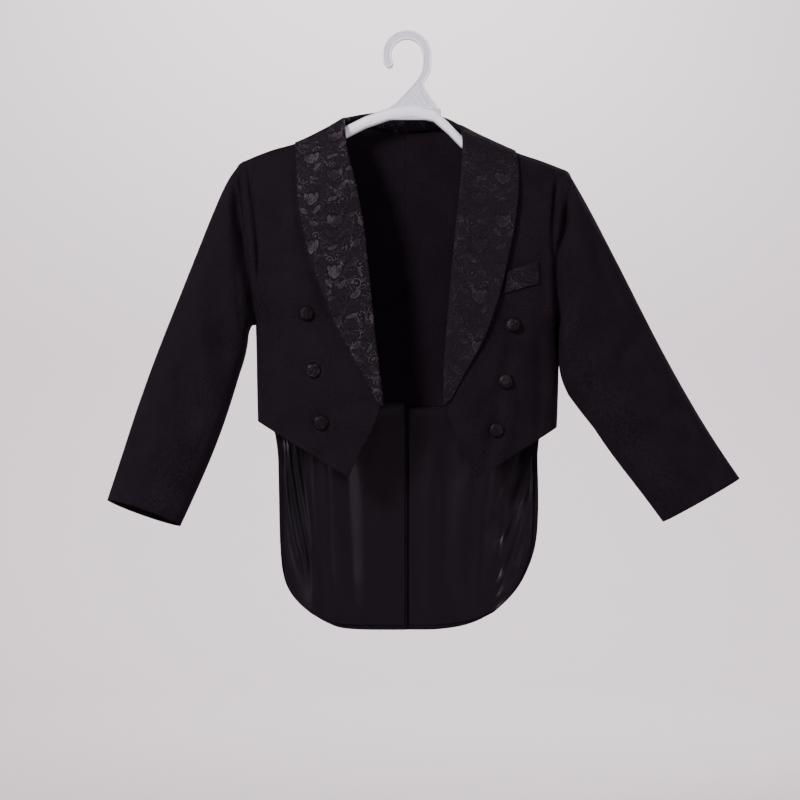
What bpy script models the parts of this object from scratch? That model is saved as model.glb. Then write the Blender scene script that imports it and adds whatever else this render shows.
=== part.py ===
"""A child's white tie tailcoat with a shawl collar, hanging open on a moulded hanger.

Run with: blender --background --python part.py
The origin is the top of the hook's inside, where a rail carries it. +Z is up, the fronts face
-Y, and the wearer's left is +X. Sizes below are in millimetres, and meshes are in metres.
"""
import math

import bmesh
import bpy
import numpy as np

MM = 0.001
COLLECTION = "white_tie_tailcoat"

# Cloth and seams
CLOTH_WALL = 2.0
SLEEVE_WALL = 1.8
COLLAR_WALL = 1.6
LINING_WALL = 1.1
SEAM_GAP = 0.3
SLEEVE_SEAM_GAP = 0.45         # a little more, because its two edges curve differently

# The hollow section of the coat
SHOULDER_REACH = 110.0         # the shoulder's round turns into the straight chest over this drop
SHOULDER_ROWS = 6              # rows over that round
FRONT_ROWS = 17
WAIST_ROW = 14                 # the front edge turns away here
ARMHOLE_ROWS = 10              # rows from the shoulder point to the armpit
BACK_ROWS = 25
BACK_WAIST_ROW = 14            # the side seam ends and the tail begins here
ROLL_LENGTH = 406.4            # along the lapel's roll, as the rows are spread down it
COLLAR_COLUMNS = 4
FRONT_COLUMNS = 10
BACK_COLUMNS = 12
NECK_COLUMNS = 4               # of the back's columns end on the neckline
COLLAR_END_COLUMN = 7          # the collar's edge crosses the shoulder seam at this column
NECK_HEIGHT = -103.0           # the back's neckline at the centre seam
NECK_EASE = 4.6                # how far out of the roll the neckline meets the shoulder

# Buttons
BUTTON_RADIUS = 8.8
BUTTON_HEIGHT = 5.2
# columns: share of the radius, share of the height
BUTTON_PROFILE = ((0.0, 1.0), (0.3, 0.96), (0.58, 0.84), (0.8, 0.62), (0.94, 0.36),
                  (1.0, 0.14), (0.93, 0.0))

# The collar behind the neck, the linings and the pocket's welt
COLLAR_BACK_ROWS = (0.025, 0.085, 0.165, 0.27, 0.4, 0.56, 0.77, 1.0)
COLLAR_LIFT = 1.0
# columns: share of the way round from the shoulder, depth of the stand
COLLAR_STAND = ((0, 3.0), (0.12, 3.2), (0.5, 12.5), (1, 19.5))
LINING_INSET = 6.0
LINING_EASE = 0.6
LINING_CORNER = 10.0           # further in where the side seam steps in to the tail
LINING_START = 3.0
# columns: x out, z at the welt's top; x out, z at its foot
WELT_ENDS = ((110.2, -261.0, 106.4, -284.6), (144.0, -249.2, 145.4, -273.6))
WELT_WALL = 1.5
WELT_EASE = 0.12

# Hanger
HOOK_RADIUS = 22.3             # middle of the band
HOOK_BAND = 9.6
HOOK_THICKNESS = 7.0
ARM_CLEARANCE = 0.55

BLACK_SUITING = ("black_suiting", (0.011, 0.007, 0.011), 0.85)
BLACK_SATIN = ("black_satin", (0.010, 0.007, 0.010), 0.38)
BLACK_JACQUARD = ("black_jacquard", (0.014, 0.010, 0.014), 0.5)
WHITE_PLASTIC = ("white_plastic", (0.82, 0.80, 0.84), 0.32)


# ---------------------------------------------------------------- curves through short tables

def through(keys, values, at):
    """Smooth curve through a table's values, with no overshoot, and straight past its ends."""
    keys = np.asarray(keys, float)
    values = np.asarray(values, float)
    at = np.asarray(at, float)
    step = np.diff(keys)
    slope = np.diff(values) / step
    tangent = np.zeros_like(values)
    tangent[0] = slope[0]
    tangent[-1] = slope[-1]
    for i in range(1, len(keys) - 1):
        if slope[i - 1] * slope[i] > 0:
            before = 2 * step[i] + step[i - 1]
            after = step[i] + 2 * step[i - 1]
            tangent[i] = (before + after) / (before / slope[i - 1] + after / slope[i])
    inside = np.clip(at, keys[0], keys[-1])
    i = np.clip(np.searchsorted(keys, inside, side="right") - 1, 0, len(keys) - 2)
    t = (inside - keys[i]) / step[i]
    curve = ((1 + 2 * t) * (1 - t) ** 2 * values[i] + t * (1 - t) ** 2 * step[i] * tangent[i]
             + t * t * (3 - 2 * t) * values[i + 1] + t * t * (t - 1) * step[i] * tangent[i + 1])
    past = at - inside
    return curve + past * np.where(past > 0, tangent[-1], tangent[0])


def along(points, fractions):
    """Points at fractions of the length of a smooth curve through a table of (x, z)."""
    points = np.asarray(points, float)
    length = np.concatenate(([0], np.cumsum(np.hypot(*np.diff(points, axis=0).T))))
    at = np.asarray(fractions, float) * length[-1]
    return np.stack([through(length, points[:, i], at) for i in range(2)], axis=1)


def soft_step(value, low, high):
    """0 below low, 1 above high, and smooth between."""
    t = np.clip((np.asarray(value, float) - low) / (high - low), 0, 1)
    return t * t * (3 - 2 * t)


def shoulder_clustered(rows, total, knee_row, knee_length):
    """Lengths from a shoulder seam: close together on its round, then even."""
    rows = np.asarray(rows, float)
    angle = np.minimum(rows, knee_row) / knee_row * math.pi / 2
    even = (rows - knee_row) / (FRONT_ROWS - knee_row) * (total - knee_length)
    return np.where(rows <= knee_row, knee_length * (1 - np.cos(angle)), knee_length + even)


# ---------------------------------------------------------------- the two halves of the coat
# x is measured outwards from the hook, and z from the inside of the hook.

class Half:
    """One side of the coat, and the tables that give its shape."""

    def __init__(self, name, sign, **tables):
        self.name = name
        self.sign = sign
        self.__dict__.update(tables)

    def ridge(self, x):
        """Height of the shoulder line."""
        return through(*zip(*self.ridge_line), np.abs(x))

    def width(self, z, face):
        """Half width that the section would have if no armhole cut it."""
        table = self.back_section if face == "back" else self.front_section
        rows = sorted(table)
        return through([row[0] for row in rows], [row[1] for row in rows], z)

    def depth(self, z, face):
        """Depth of the section in front of or behind the hook."""
        rows = sorted(self.depths)
        column = 2 if face == "back" else 1
        return through([row[0] for row in rows], [row[column] for row in rows], z)


# columns: x out, z
RIGHT = Half(
    "right", -1,
    ridge_line=((0, -50), (30, -55), (45, -62), (60, -78), (69.5, -88.4), (97, -104),
                (124, -116.3), (146, -122), (164, -128.4), (179.7, -135)),
    # columns: z, half width
    front_section=((-60, 262), (-140, 262), (-215, 262), (-262, 247), (-292, 212),
                   (-308, 184), (-318.8, 168.8), (-350, 168), (-426, 166.5), (-500, 166)),
    back_section=((-60, 262), (-140, 262), (-215, 262), (-262, 247), (-292, 212),
                  (-308, 184), (-318.8, 168.8), (-350, 168), (-426, 166.5), (-446, 163),
                  (-480, 160), (-660, 158)),
    # columns: z, front depth, back depth
    depths=((-60, 34, 31), (-200, 36, 33), (-330, 37, 33), (-426, 38, 32), (-500, 36, 31),
            (-660, 34, 26)),
    shoulder=(179.7, -135),
    armpit=(168.8, -318.8),
    armhole=((-135, 179.7), (-144.8, 176.1), (-182, 169.5), (-210, 165.4), (-233, 164.8),
             (-260, 166.1), (-298, 167.2), (-318.8, 168.8)),
    side_bottom=(166.5, -425.9),
    roll_line=((72.6, -89.8), (70, -117.6), (61.8, -152.5), (52.6, -192.4), (48.4, -221.8),
               (43, -274.9), (37.8, -328.5), (31.1, -381.6), (28.2, -408)),
    lapel_edge=((124, -116.3), (122.4, -135), (120.1, -179), (114.8, -211), (106.8, -245.8),
                (94.8, -277.8), (82.8, -309.8), (66.9, -341.8), (50.8, -368.4), (33.4, -404)),
    cutaway=((28.2, -408), (32.2, -421.8), (56.2, -467.1), (64.5, -487.8)),
    # columns: x out, z; the tail's outer edge from the side seam to its rounded corner
    tail_edge=((166.5, -425.9), (152, -433), (145.6, -446), (144, -490), (142.8, -551),
               (139.6, -599), (130, -622), (108.7, -641.9)),
    tail_bottom=((0, -661.5), (40, -661.5), (72, -659.5), (92, -652), (108.7, -641.9)),
    collar_back_edge=((124, -116.3), (119, -131), (103, -139), (76, -138), (46, -133.5),
                      (20, -130), (0, -129)),
    collar_back_fold=((72.6, -89.8), (68, -89), (60, -86.6), (50, -84.3), (34, -82),
                      (17, -80.6), (0, -80)),
    buttons=((111, -307.1), (103.5, -369.7), (94.9, -427.2)),
    # columns: outer x, outer z, inner x, inner z, front depth, back depth, y of middle, slant
    sleeve=((196.4, -150.2, 176.3, -329, 30, 31, 0, 0),
            (210.9, -179.3, 176.9, -338, 31, 32, -1, 0),
            (228.8, -224, 178.5, -349, 30, 32, -2, 0),
            (248.8, -274.2, 180.8, -359.3, 28, 30, -3, 0),
            (273.4, -335.5, 186, -375, 25.5, 28, -5, 0),
            (298, -402.5, 204.2, -436, 23, 25, -8, 0),
            (319.2, -469.5, 232.1, -502, 21, 22, -11, 2),
            (333.5, -513.2, 250.6, -542.2, 20, 21, -13, 5)),
)

LEFT = Half(
    "left", 1,
    ridge_line=((0, -50), (25, -56), (38, -65), (51, -84), (60.3, -97.3), (87, -110.7),
                (117, -124.1), (132, -129.7), (150, -135.4), (166, -141.7), (173.8, -144.7)),
    front_section=((-60, 262), (-140, 262), (-215, 262), (-262, 247), (-294, 212),
                   (-311, 184), (-322, 170.8), (-350, 169.8), (-432, 167.4), (-500, 167)),
    back_section=((-60, 262), (-140, 262), (-215, 262), (-262, 247), (-294, 212),
                  (-311, 184), (-322, 170.8), (-350, 169.8), (-432, 167.4), (-450, 164),
                  (-480, 161), (-660, 159)),
    depths=((-60, 34, 31), (-200, 36, 33), (-330, 37, 33), (-426, 38, 32), (-500, 36, 31),
            (-660, 34, 26)),
    shoulder=(173.8, -144.7),
    armpit=(170.8, -322),
    armhole=((-144.7, 173.8), (-153.2, 168.7), (-192, 161.6), (-214.6, 158.6), (-232, 159.2),
             (-250, 161.8), (-285, 166.2), (-322, 170.8)),
    side_bottom=(167.4, -432.6),
    roll_line=((62.8, -98.6), (64.6, -110), (63.8, -132), (58.8, -185.5), (52.3, -251),
               (47.4, -309), (42.4, -377), (42, -406.9)),
    lapel_edge=((119.5, -125.1), (122.4, -139.6), (123.3, -162.7), (120.2, -195.7),
                (114, -230.9), (107.7, -258.4), (103.9, -281.5), (96.3, -301), (90, -321.8),
                (78.6, -347), (65.9, -367.3), (47.4, -403)),
    cutaway=((42, -406.9), (48, -430.4), (62.4, -460.8), (77.3, -488.3)),
    tail_edge=((167.4, -432.6), (152, -439), (145.8, -450), (146.8, -480), (147.5, -511.6),
               (146, -557), (136.2, -591.5), (121.6, -618.5), (98.2, -641.1)),
    tail_bottom=((0, -661.5), (36, -661.5), (62, -658.5), (80, -652), (98.2, -641.1)),
    collar_back_edge=((119.5, -125.1), (116, -137), (101, -144), (75, -141), (46, -135),
                      (20, -130.4), (0, -129)),
    collar_back_fold=((62.8, -98.6), (58.4, -97), (51.5, -92.4), (43, -88), (30, -84),
                      (15, -81), (0, -80)),
    buttons=((117.4, -319.9), (109, -382.4), (98.9, -435.5)),
    sleeve=((188.6, -161.5, 174.2, -337.5, 29, 31, 0, 0),
            (203.1, -187, 174.2, -348.8, 29, 31, 0, 0),
            (225.4, -229.5, 174.6, -361, 27, 30, 0, 0),
            (251.1, -279.7, 176.6, -373.5, 24.5, 28, 0, 0),
            (279, -335.5, 183, -393, 22.5, 26, -1, 0),
            (315.8, -402.5, 220.4, -455, 21, 23, -2, 0),
            (344.9, -450.5, 253.3, -496.4, 19.5, 20.5, -3, 0),
            (371.2, -489, 284.2, -538.4, 18.5, 19.5, -4, 0)),
)

# columns: x out, z at the top, x out, z at the bottom, half width, height out of the cloth
TAIL_FLUTES = (
    (132, -450, 124, -620, 13, -4.0),
    (110, -445, 102, -640, 12, 3.6),
    (84, -450, 78, -650, 14, -3.4),
    (52, -455, 50, -655, 15, 3.0),
)
FRONT_FOLDS = (
    (148, -338, 118, -420, 12, 1.6),
    (150, -205, 140, -285, 11, -2.4),
)
BACK_FOLDS = (
    (140, -215, 120, -330, 16, -2.8),
    (146, -350, 96, -404, 12, 2.0),
    (40, -170, 34, -300, 26, -2.2),
)


def fold_height(table, x, z):
    """Height of the soft ridges and troughs of a table at a place on the cloth."""
    height = np.zeros(np.broadcast(x, z).shape)
    for top_x, top_z, low_x, low_z, width, out in table:
        run = np.array([low_x - top_x, low_z - top_z], float)
        length = np.hypot(*run)
        run /= length
        distance = (x - top_x) * run[0] + (z - top_z) * run[1]
        side = (x - top_x) * run[1] - (z - top_z) * run[0]
        fade = soft_step(distance, -0.15 * length, 0.3 * length)
        fade = fade * (1 - soft_step(distance, 0.8 * length, 1.15 * length))
        height = height + out * fade * np.exp(-(side / width) ** 2)
    return height


VENT_TOP = -446.0
VENT_LAP = 20.0
LAP_LIFT = 2.9


def vent_lift(half, x, z):
    """How far the left tail's edge stands out, to lie over the right tail."""
    if half.sign < 0:
        return np.zeros(np.broadcast(x, z).shape)
    down = 1 - soft_step(z, VENT_TOP + 2, VENT_TOP + 30)
    return LAP_LIFT * down * (1 - soft_step(x, 6, 34))


def outer(half, x, z, face):
    """The outside of the cloth at x out and height z."""
    x = np.asarray(x, float)
    z = np.asarray(z, float)
    drop = np.clip((half.ridge(x) - z) / SHOULDER_REACH, 0, 1)
    across = np.sqrt(np.clip(1 - (x / half.width(z, face)) ** 2, 0, 1))
    fall = np.sqrt(1 - (1 - drop) ** 2)
    depth = half.depth(z, face) * across * fall
    if face == "front":
        depth = depth + fold_height(FRONT_FOLDS, x, z) * across * fall
        return np.stack([half.sign * x, -depth, z], axis=-1)
    depth = depth + fold_height(BACK_FOLDS, x, z) * across * fall
    depth = depth + fold_height(TAIL_FLUTES, x, z) + vent_lift(half, x, z)
    return np.stack([half.sign * x, depth, z], axis=-1)


def angle_at(half, x, z, face):
    """Angle round the section, 0 at the middle and a quarter turn at the side seam."""
    return np.arcsin(np.clip(x / half.width(z, face), -1, 1))


def armhole_ring(half, rows):
    """x and z of the armhole's seam, from the shoulder point to the armpit."""
    turn = np.asarray(rows, float) / ARMHOLE_ROWS * math.pi
    top = half.shoulder[1]
    low = half.armpit[1]
    z = (top + low) / 2 + (top - low) / 2 * np.cos(turn)
    table = sorted(half.armhole)
    x = through([row[0] for row in table], [row[1] for row in table], z)
    return np.stack([x, z], axis=1)


# ---------------------------------------------------------------- grids of the panels

def front_grid(half):
    """Outer points of a front: rows from the shoulder, columns from the roll line outwards."""
    rows = np.arange(FRONT_ROWS + 1)
    upper = rows[:WAIST_ROW + 1]
    lower = rows[WAIST_ROW:]
    lengths = shoulder_clustered(upper, ROLL_LENGTH, SHOULDER_ROWS, SHOULDER_REACH)
    lengths = lengths / lengths[-1]
    low_part = (lower - WAIST_ROW) / (FRONT_ROWS - WAIST_ROW)
    inner = np.concatenate([along(half.roll_line, lengths),
                            along(half.cutaway, low_part)[1:]])
    lapel = along(half.lapel_edge, lengths)
    ring = armhole_ring(half, np.arange(ARMHOLE_ROWS + 1))
    side_part = np.arange(1, FRONT_ROWS - ARMHOLE_ROWS + 1) / (FRONT_ROWS - ARMHOLE_ROWS)
    side_z = half.armpit[1] + (half.side_bottom[1] - half.armpit[1]) * side_part
    side = np.concatenate([ring, np.stack([half.width(side_z, "front"), side_z], axis=1)])
    # below the waist the lapel's column runs on down the front, spreading from its edge
    hem = half.side_bottom[0] - half.cutaway[-1][0]
    spread = 5.4 + (0.26 * hem - 5.4) * soft_step(low_part, 0, 1)
    share = spread / (side[WAIST_ROW:, 0] - inner[WAIST_ROW:, 0])
    lower_lapel = inner[WAIST_ROW:] + (side[WAIST_ROW:] - inner[WAIST_ROW:]) * share[:, None]
    lower_lapel[0] = lapel[-1]
    lapel = np.concatenate([lapel, lower_lapel[1:]])

    angles = np.zeros((FRONT_ROWS + 1, FRONT_COLUMNS + 1))
    heights = np.zeros_like(angles)
    guides = [(angle_at(half, line[:, 0], line[:, 1], "front"), line[:, 1])
              for line in (inner, lapel, side)]
    for column in range(FRONT_COLUMNS + 1):
        if column <= COLLAR_COLUMNS:
            first, second = guides[0], guides[1]
            part = column / COLLAR_COLUMNS
        else:
            first, second = guides[1], guides[2]
            part = (column - COLLAR_COLUMNS) / (FRONT_COLUMNS - COLLAR_COLUMNS)
        angles[:, column] = first[0] + (second[0] - first[0]) * part
        heights[:, column] = first[1] + (second[1] - first[1]) * part
    # the top row lies on the shoulder line, and the next rows ease down from it
    top_x = np.sin(angles[0]) * half.width(heights[0], "front")
    ease = 1 - soft_step(rows, 0, 9)
    heights += ease[:, None] * (half.ridge(top_x) - heights[0])[None, :]
    # and the bottom row on the straight hem, which the rows above it ease towards
    low_x = np.sin(angles[-1]) * half.width(heights[-1], "front")
    tip, corner = inner[-1], side[-1]
    hem_z = tip[1] + (corner[1] - tip[1]) * (low_x - tip[0]) / (corner[0] - tip[0])
    settle = soft_step(rows, FRONT_ROWS - 6, FRONT_ROWS)
    heights += settle[:, None] * (hem_z - heights[-1])[None, :]
    x = np.sin(angles) * half.width(heights, "front")
    heights[0] = half.ridge(x[0])
    return x, heights


def back_grid(half):
    """Outer points of a back and its tail: rows from the neck, columns from the middle."""
    rows = np.arange(BACK_ROWS + 1)
    ring = armhole_ring(half, np.arange(ARMHOLE_ROWS + 1))
    side_rows = BACK_WAIST_ROW - ARMHOLE_ROWS
    side_part = np.arange(1, side_rows + 1) / side_rows
    side_z = half.armpit[1] + (half.side_bottom[1] - half.armpit[1]) * side_part
    side = np.stack([half.width(side_z, "back"), side_z], axis=1)
    tail_rows = BACK_ROWS - BACK_WAIST_ROW
    tail = along(half.tail_edge, np.arange(1, tail_rows + 1) / tail_rows)
    edge = np.concatenate([ring, side, tail])
    # the middle's heights: rounded neck first, then evenly to the armpit, waist and hem
    drop = SHOULDER_REACH * (1 - np.cos(np.minimum(rows, SHOULDER_ROWS) / SHOULDER_ROWS
                                        * math.pi / 2))
    middle_z = through([0, ARMHOLE_ROWS - SHOULDER_ROWS, BACK_WAIST_ROW - SHOULDER_ROWS,
                        BACK_ROWS - SHOULDER_ROWS],
                       [NECK_HEIGHT - SHOULDER_REACH, half.armpit[1] - 8,
                        half.side_bottom[1] - 4, half.tail_bottom[0][1]],
                       rows - SHOULDER_ROWS)
    middle_z = np.where(rows <= SHOULDER_ROWS, NECK_HEIGHT - drop, middle_z)
    middle_x = np.zeros(len(rows))
    if half.sign > 0:
        middle_x = -VENT_LAP * (1 - soft_step(middle_z, VENT_TOP - 26, VENT_TOP))
    middle_angle = angle_at(half, middle_x, middle_z, "back")
    edge_angle = angle_at(half, edge[:, 0], edge[:, 1], "back")

    # the neckline and shoulder seam, column by column
    neck_x = half.roll_line[0][0] + NECK_EASE
    collar_x = half.lapel_edge[0][0]
    shoulder_x = half.shoulder[0]
    column = np.arange(BACK_COLUMNS + 1)
    neck_part = np.sin(np.minimum(column / NECK_COLUMNS, 1) * math.pi / 2)
    top_x = np.where(column <= NECK_COLUMNS, neck_x * neck_part,
                     neck_x + (collar_x - neck_x) * (column - NECK_COLUMNS)
                     / (COLLAR_END_COLUMN - NECK_COLUMNS))
    top_x = np.where(column > COLLAR_END_COLUMN,
                     collar_x + (shoulder_x - collar_x) * (column - COLLAR_END_COLUMN)
                     / (BACK_COLUMNS - COLLAR_END_COLUMN), top_x)
    fold_x, fold_z = zip(*sorted(half.collar_back_fold))
    stand = through((0, 0.5, 1), (22.4, 15.5, 4.4), np.clip(top_x / neck_x, 0, 1))
    neckline = through(fold_x, fold_z, top_x) - stand
    top_z = np.where(column < NECK_COLUMNS, np.minimum(neckline, half.ridge(top_x)),
                     half.ridge(top_x))
    top_angle = angle_at(half, top_x, top_z, "back")
    bottom_x = edge[-1, 0] * np.sin(column / BACK_COLUMNS * math.pi / 2)
    bottom_z = through(*zip(*half.tail_bottom), bottom_x)

    part = column / BACK_COLUMNS
    early = 1 - soft_step(rows, 0, 8)
    late = soft_step(rows, BACK_ROWS - 6, BACK_ROWS)
    even = middle_angle[:, None] + (edge_angle - middle_angle)[:, None] * part
    shaped = edge_angle[:, None] * (top_angle / top_angle[-1])[None, :]
    angles = even + early[:, None] * (shaped - even)
    sine_part = np.sin(part * math.pi / 2)
    flat = middle_z[:, None] + (edge[:, 1] - middle_z)[:, None] * part
    heights = flat + early[:, None] * (top_z - flat[0])[None, :]
    bottom_flat = middle_z[-1] + (edge[-1, 1] - middle_z[-1]) * part
    heights = heights + late[:, None] * (bottom_z - bottom_flat)[None, :]
    x = np.sin(angles) * half.width(heights, "back")
    x_bottom = middle_x[-1] + (edge[-1, 0] - middle_x[-1]) * sine_part
    x = x + late[:, None] * (x_bottom - x[-1])[None, :]
    x[:, -1] = edge[:, 0]
    heights[0, NECK_COLUMNS:] = half.ridge(x[0, NECK_COLUMNS:])
    return x, heights


# ---------------------------------------------------------------- cloth walls

def drawn_in(points, edge, distance):
    """Moves one edge of a grid of points towards the next row or column."""
    grid = {"top": points, "low": points[::-1], "first": points.transpose(1, 0, 2),
            "last": points.transpose(1, 0, 2)[::-1]}[edge]
    run = grid[1] - grid[0]
    size = np.linalg.norm(run, axis=1, keepdims=True)
    grid[0] += run / size * np.minimum(distance, size * 0.8)


def grid_normals(points):
    """Normals of a grid of points, from the cells that meet at each."""
    normals = np.zeros_like(points)
    cell = np.cross(points[1:, 1:] - points[:-1, :-1], points[1:, :-1] - points[:-1, 1:])
    cell /= np.maximum(np.linalg.norm(cell, axis=2, keepdims=True), 1e-9)
    for row in (slice(None, -1), slice(1, None)):
        for column in (slice(None, -1), slice(1, None)):
            normals[row, column] += cell
    return normals / np.maximum(np.linalg.norm(normals, axis=2, keepdims=True), 1e-9)


def facing(points, outward):
    """Grid normals turned to the side that a given direction at the grid's middle shows."""
    normals = grid_normals(points)
    middle = normals[points.shape[0] // 2, points.shape[1] // 2]
    return normals if np.dot(middle, outward) > 0 else -normals


def material(look):
    """The Principled material of a part."""
    name, colour, roughness = look
    found = bpy.data.materials.get(name)
    if found:
        return found
    made = bpy.data.materials.new(name)
    made.use_nodes = True
    shader = made.node_tree.nodes["Principled BSDF"]
    shader.inputs["Base Color"].default_value = (*colour, 1.0)
    shader.inputs["Roughness"].default_value = roughness
    shader.inputs["Metallic"].default_value = 0.0
    return made


def add_object(name, mesh, look, smooth_angle=50):
    """Puts a finished mesh in the coat's collection."""
    part = bpy.data.objects.new(name, mesh)
    bpy.data.collections[COLLECTION].objects.link(part)
    mesh.materials.append(material(look))
    mesh.shade_smooth()
    mesh.set_sharp_from_angle(angle=math.radians(smooth_angle))
    return part


def cloth(name, skin, through_wall, look):
    """A wall of cloth: a grid of points, and the run from each one through the wall."""
    rows, columns = skin.shape[:2]
    sheet = bmesh.new()
    place = sheet.verts.layers.int.new("place")
    bmesh.ops.create_grid(sheet, x_segments=columns - 1, y_segments=rows - 1, size=1.0)
    ordered = sorted(sheet.verts, key=lambda v: (round(v.co.y, 5), round(v.co.x, 5)))
    for number, vert in enumerate(ordered):
        vert[place] = number
    grown = bmesh.ops.extrude_face_region(
        sheet, geom=sheet.verts[:] + sheet.edges[:] + sheet.faces[:], use_keep_orig=True)
    far_side = {item for item in grown["geom"] if isinstance(item, bmesh.types.BMVert)}
    near = skin.reshape(-1, 3)
    far = near + through_wall.reshape(-1, 3)
    for vert in sheet.verts:
        number = vert[place]
        vert.co = (far if vert in far_side else near)[number] * MM
    bmesh.ops.recalc_face_normals(sheet, faces=sheet.faces)
    mesh = bpy.data.meshes.new(name)
    sheet.to_mesh(mesh)
    sheet.free()
    return add_object(name, mesh, look)


def upright(normals, rows, columns, axis):
    """Turns normals along a seam so that the wall ends on the seam's plane."""
    normals[rows, columns, axis] = 0
    normals /= np.linalg.norm(normals, axis=2, keepdims=True)


def front(half):
    """A front, its cutaway edge and its slanted hem. Returns its grid and normals."""
    x, z = front_grid(half)
    points = outer(half, x, z, "front")
    normals = facing(points, (0, -1, 0))
    upright(normals, 0, slice(None), 1)
    upright(normals, slice(ARMHOLE_ROWS, None), -1, 1)
    wall = points.copy()
    drawn_in(wall, "top", SEAM_GAP / 2)
    drawn_in(wall, "last", SEAM_GAP / 2)
    cloth("front_" + half.name, wall, -normals * CLOTH_WALL, BLACK_SUITING)
    return points, normals


def back(half):
    """A back cut in one with its tail. Returns its grid and normals."""
    x, z = back_grid(half)
    points = outer(half, x, z, "back")
    normals = facing(points, (0, 1, 0))
    upright(normals, 0, slice(NECK_COLUMNS, None), 1)
    upright(normals, slice(ARMHOLE_ROWS, BACK_WAIST_ROW + 1), -1, 1)
    upright(normals, slice(None), 0, 0)
    wall = points.copy()
    for edge in ("top", "last", "first"):
        drawn_in(wall, edge, SEAM_GAP / 2)
    cloth("back_" + half.name, wall, -normals * CLOTH_WALL, BLACK_SUITING)
    return points, normals


def tail_lining(half, points, normals):
    """The satin lining of a tail, against the tail's inner face and short of its edges."""
    first_row = BACK_WAIST_ROW - 1
    first_column = 1 if half.sign > 0 else 0
    skin = points - normals * (CLOTH_WALL + SEAM_GAP + LINING_EASE)
    skin = skin[first_row:, first_column:].copy()
    if half.sign > 0:
        # the lapped edge of the left tail lies on the right one, so its lining stops short
        lapped = points[first_row:, 0] - normals[first_row:, 0] * (
            CLOTH_WALL + SEAM_GAP + LINING_EASE)
        for row in range(len(skin)):
            near, far = (lapped[row], skin[row, 0])
            if far[0] < LINING_START + 1:
                near, far = skin[row, 0], skin[row, 1]
            skin[row, 0] = near + (far - near) * (LINING_START - near[0]) / (far[0] - near[0])
    else:
        drawn_in(skin, "first", LINING_START)
    corner = LINING_CORNER * (1 - soft_step(np.arange(len(skin)), 2, 4))
    drawn_in(skin, "last", LINING_INSET + corner[:, None])
    drawn_in(skin, "low", LINING_INSET)
    cloth("tail_lining_" + half.name, skin,
          -facing(skin, (0, 1, 0)) * LINING_WALL, BLACK_SATIN)


def collar(half, front_points, front_normals):
    """Half of the shawl collar: over the front, round the roll and behind the neck."""
    rows = slice(0, WAIST_ROW + 1)
    lap = front_points[rows, :COLLAR_COLUMNS + 1][::-1].copy()
    normals = front_normals[rows, :COLLAR_COLUMNS + 1][::-1].copy()

    # round the back of the neck, from the shoulder seam to the centre back
    part = np.array(COLLAR_BACK_ROWS)
    fold = along(half.collar_back_fold, part)
    edge = along(half.collar_back_edge, part)
    back_lap = np.zeros((len(part), COLLAR_COLUMNS + 1, 3))
    step = np.arange(COLLAR_COLUMNS + 1) / COLLAR_COLUMNS
    for row in range(len(part)):
        x = fold[row, 0] + (edge[row, 0] - fold[row, 0]) * step
        fold_drop = half.ridge(fold[row, 0]) - fold[row, 1]
        edge_drop = half.ridge(edge[row, 0]) - edge[row, 1]
        z = half.ridge(x) - (fold_drop + (edge_drop - fold_drop) * step)
        straight = fold[row, 1] + (edge[row, 1] - fold[row, 1]) * step
        z = z + (straight - z) * soft_step(part[row], 0.1, 0.9)
        back_lap[row] = outer(half, x, z, "back")
    back_normals = facing(np.concatenate([lap[-1:], back_lap]), (0, 1, 0))[1:]
    lap = np.concatenate([lap, back_lap])
    normals = np.concatenate([normals, back_normals])
    upright(normals, -1, slice(None), 0)

    # the collar lies on the front and stands a little off the back
    behind = np.concatenate([np.zeros(WAIST_ROW + 1), part])
    rise = soft_step(np.arange(len(lap)), WAIST_ROW - 4, WAIST_ROW)
    lift = SEAM_GAP + COLLAR_LIFT * rise + 0.6 * soft_step(behind, 0, 0.5)
    normal = normals[:, 0]
    toward_fold = lap[:, 0] - lap[:, 1]
    toward_fold -= normal * np.sum(toward_fold * normal, axis=1, keepdims=True)
    toward_fold[-1, 0] = 0
    toward_fold /= np.linalg.norm(toward_fold, axis=1, keepdims=True)
    inside = CLOTH_WALL + SEAM_GAP + 0.5 * rise
    radius = (lift + inside) / 2
    centre = lift - radius
    columns = [lap[:, i] + normals[:, i] * lift[:, None]
               for i in range(COLLAR_COLUMNS, -1, -1)]
    for turn in (45, 0, -45):
        out = np.cos(math.radians(turn)) * radius
        up = centre + np.sin(math.radians(turn)) * radius
        columns.append(lap[:, 0] + toward_fold * out[:, None] + normal * up[:, None])
    leaf = through(*zip(*COLLAR_STAND), behind) * (1 - 0.5 * rise * (behind < 0.02))
    for share in (0.0, 1.0):
        down = -share * leaf
        columns.append(lap[:, 0] + toward_fold * down[:, None] - normal * inside[:, None])
    skin = np.stack(columns, axis=1)
    skin[-1, :, 0] = half.sign * SEAM_GAP / 2
    growth = facing(skin[:, ::-1], (0, -1, 0))[:, ::-1]
    growth = growth if np.dot(growth[2, 1], (0, -1, 0)) > 0 else -growth
    upright(growth, -1, slice(None), 0)
    cloth("collar_" + half.name, skin, growth * COLLAR_WALL, BLACK_JACQUARD)


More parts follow.
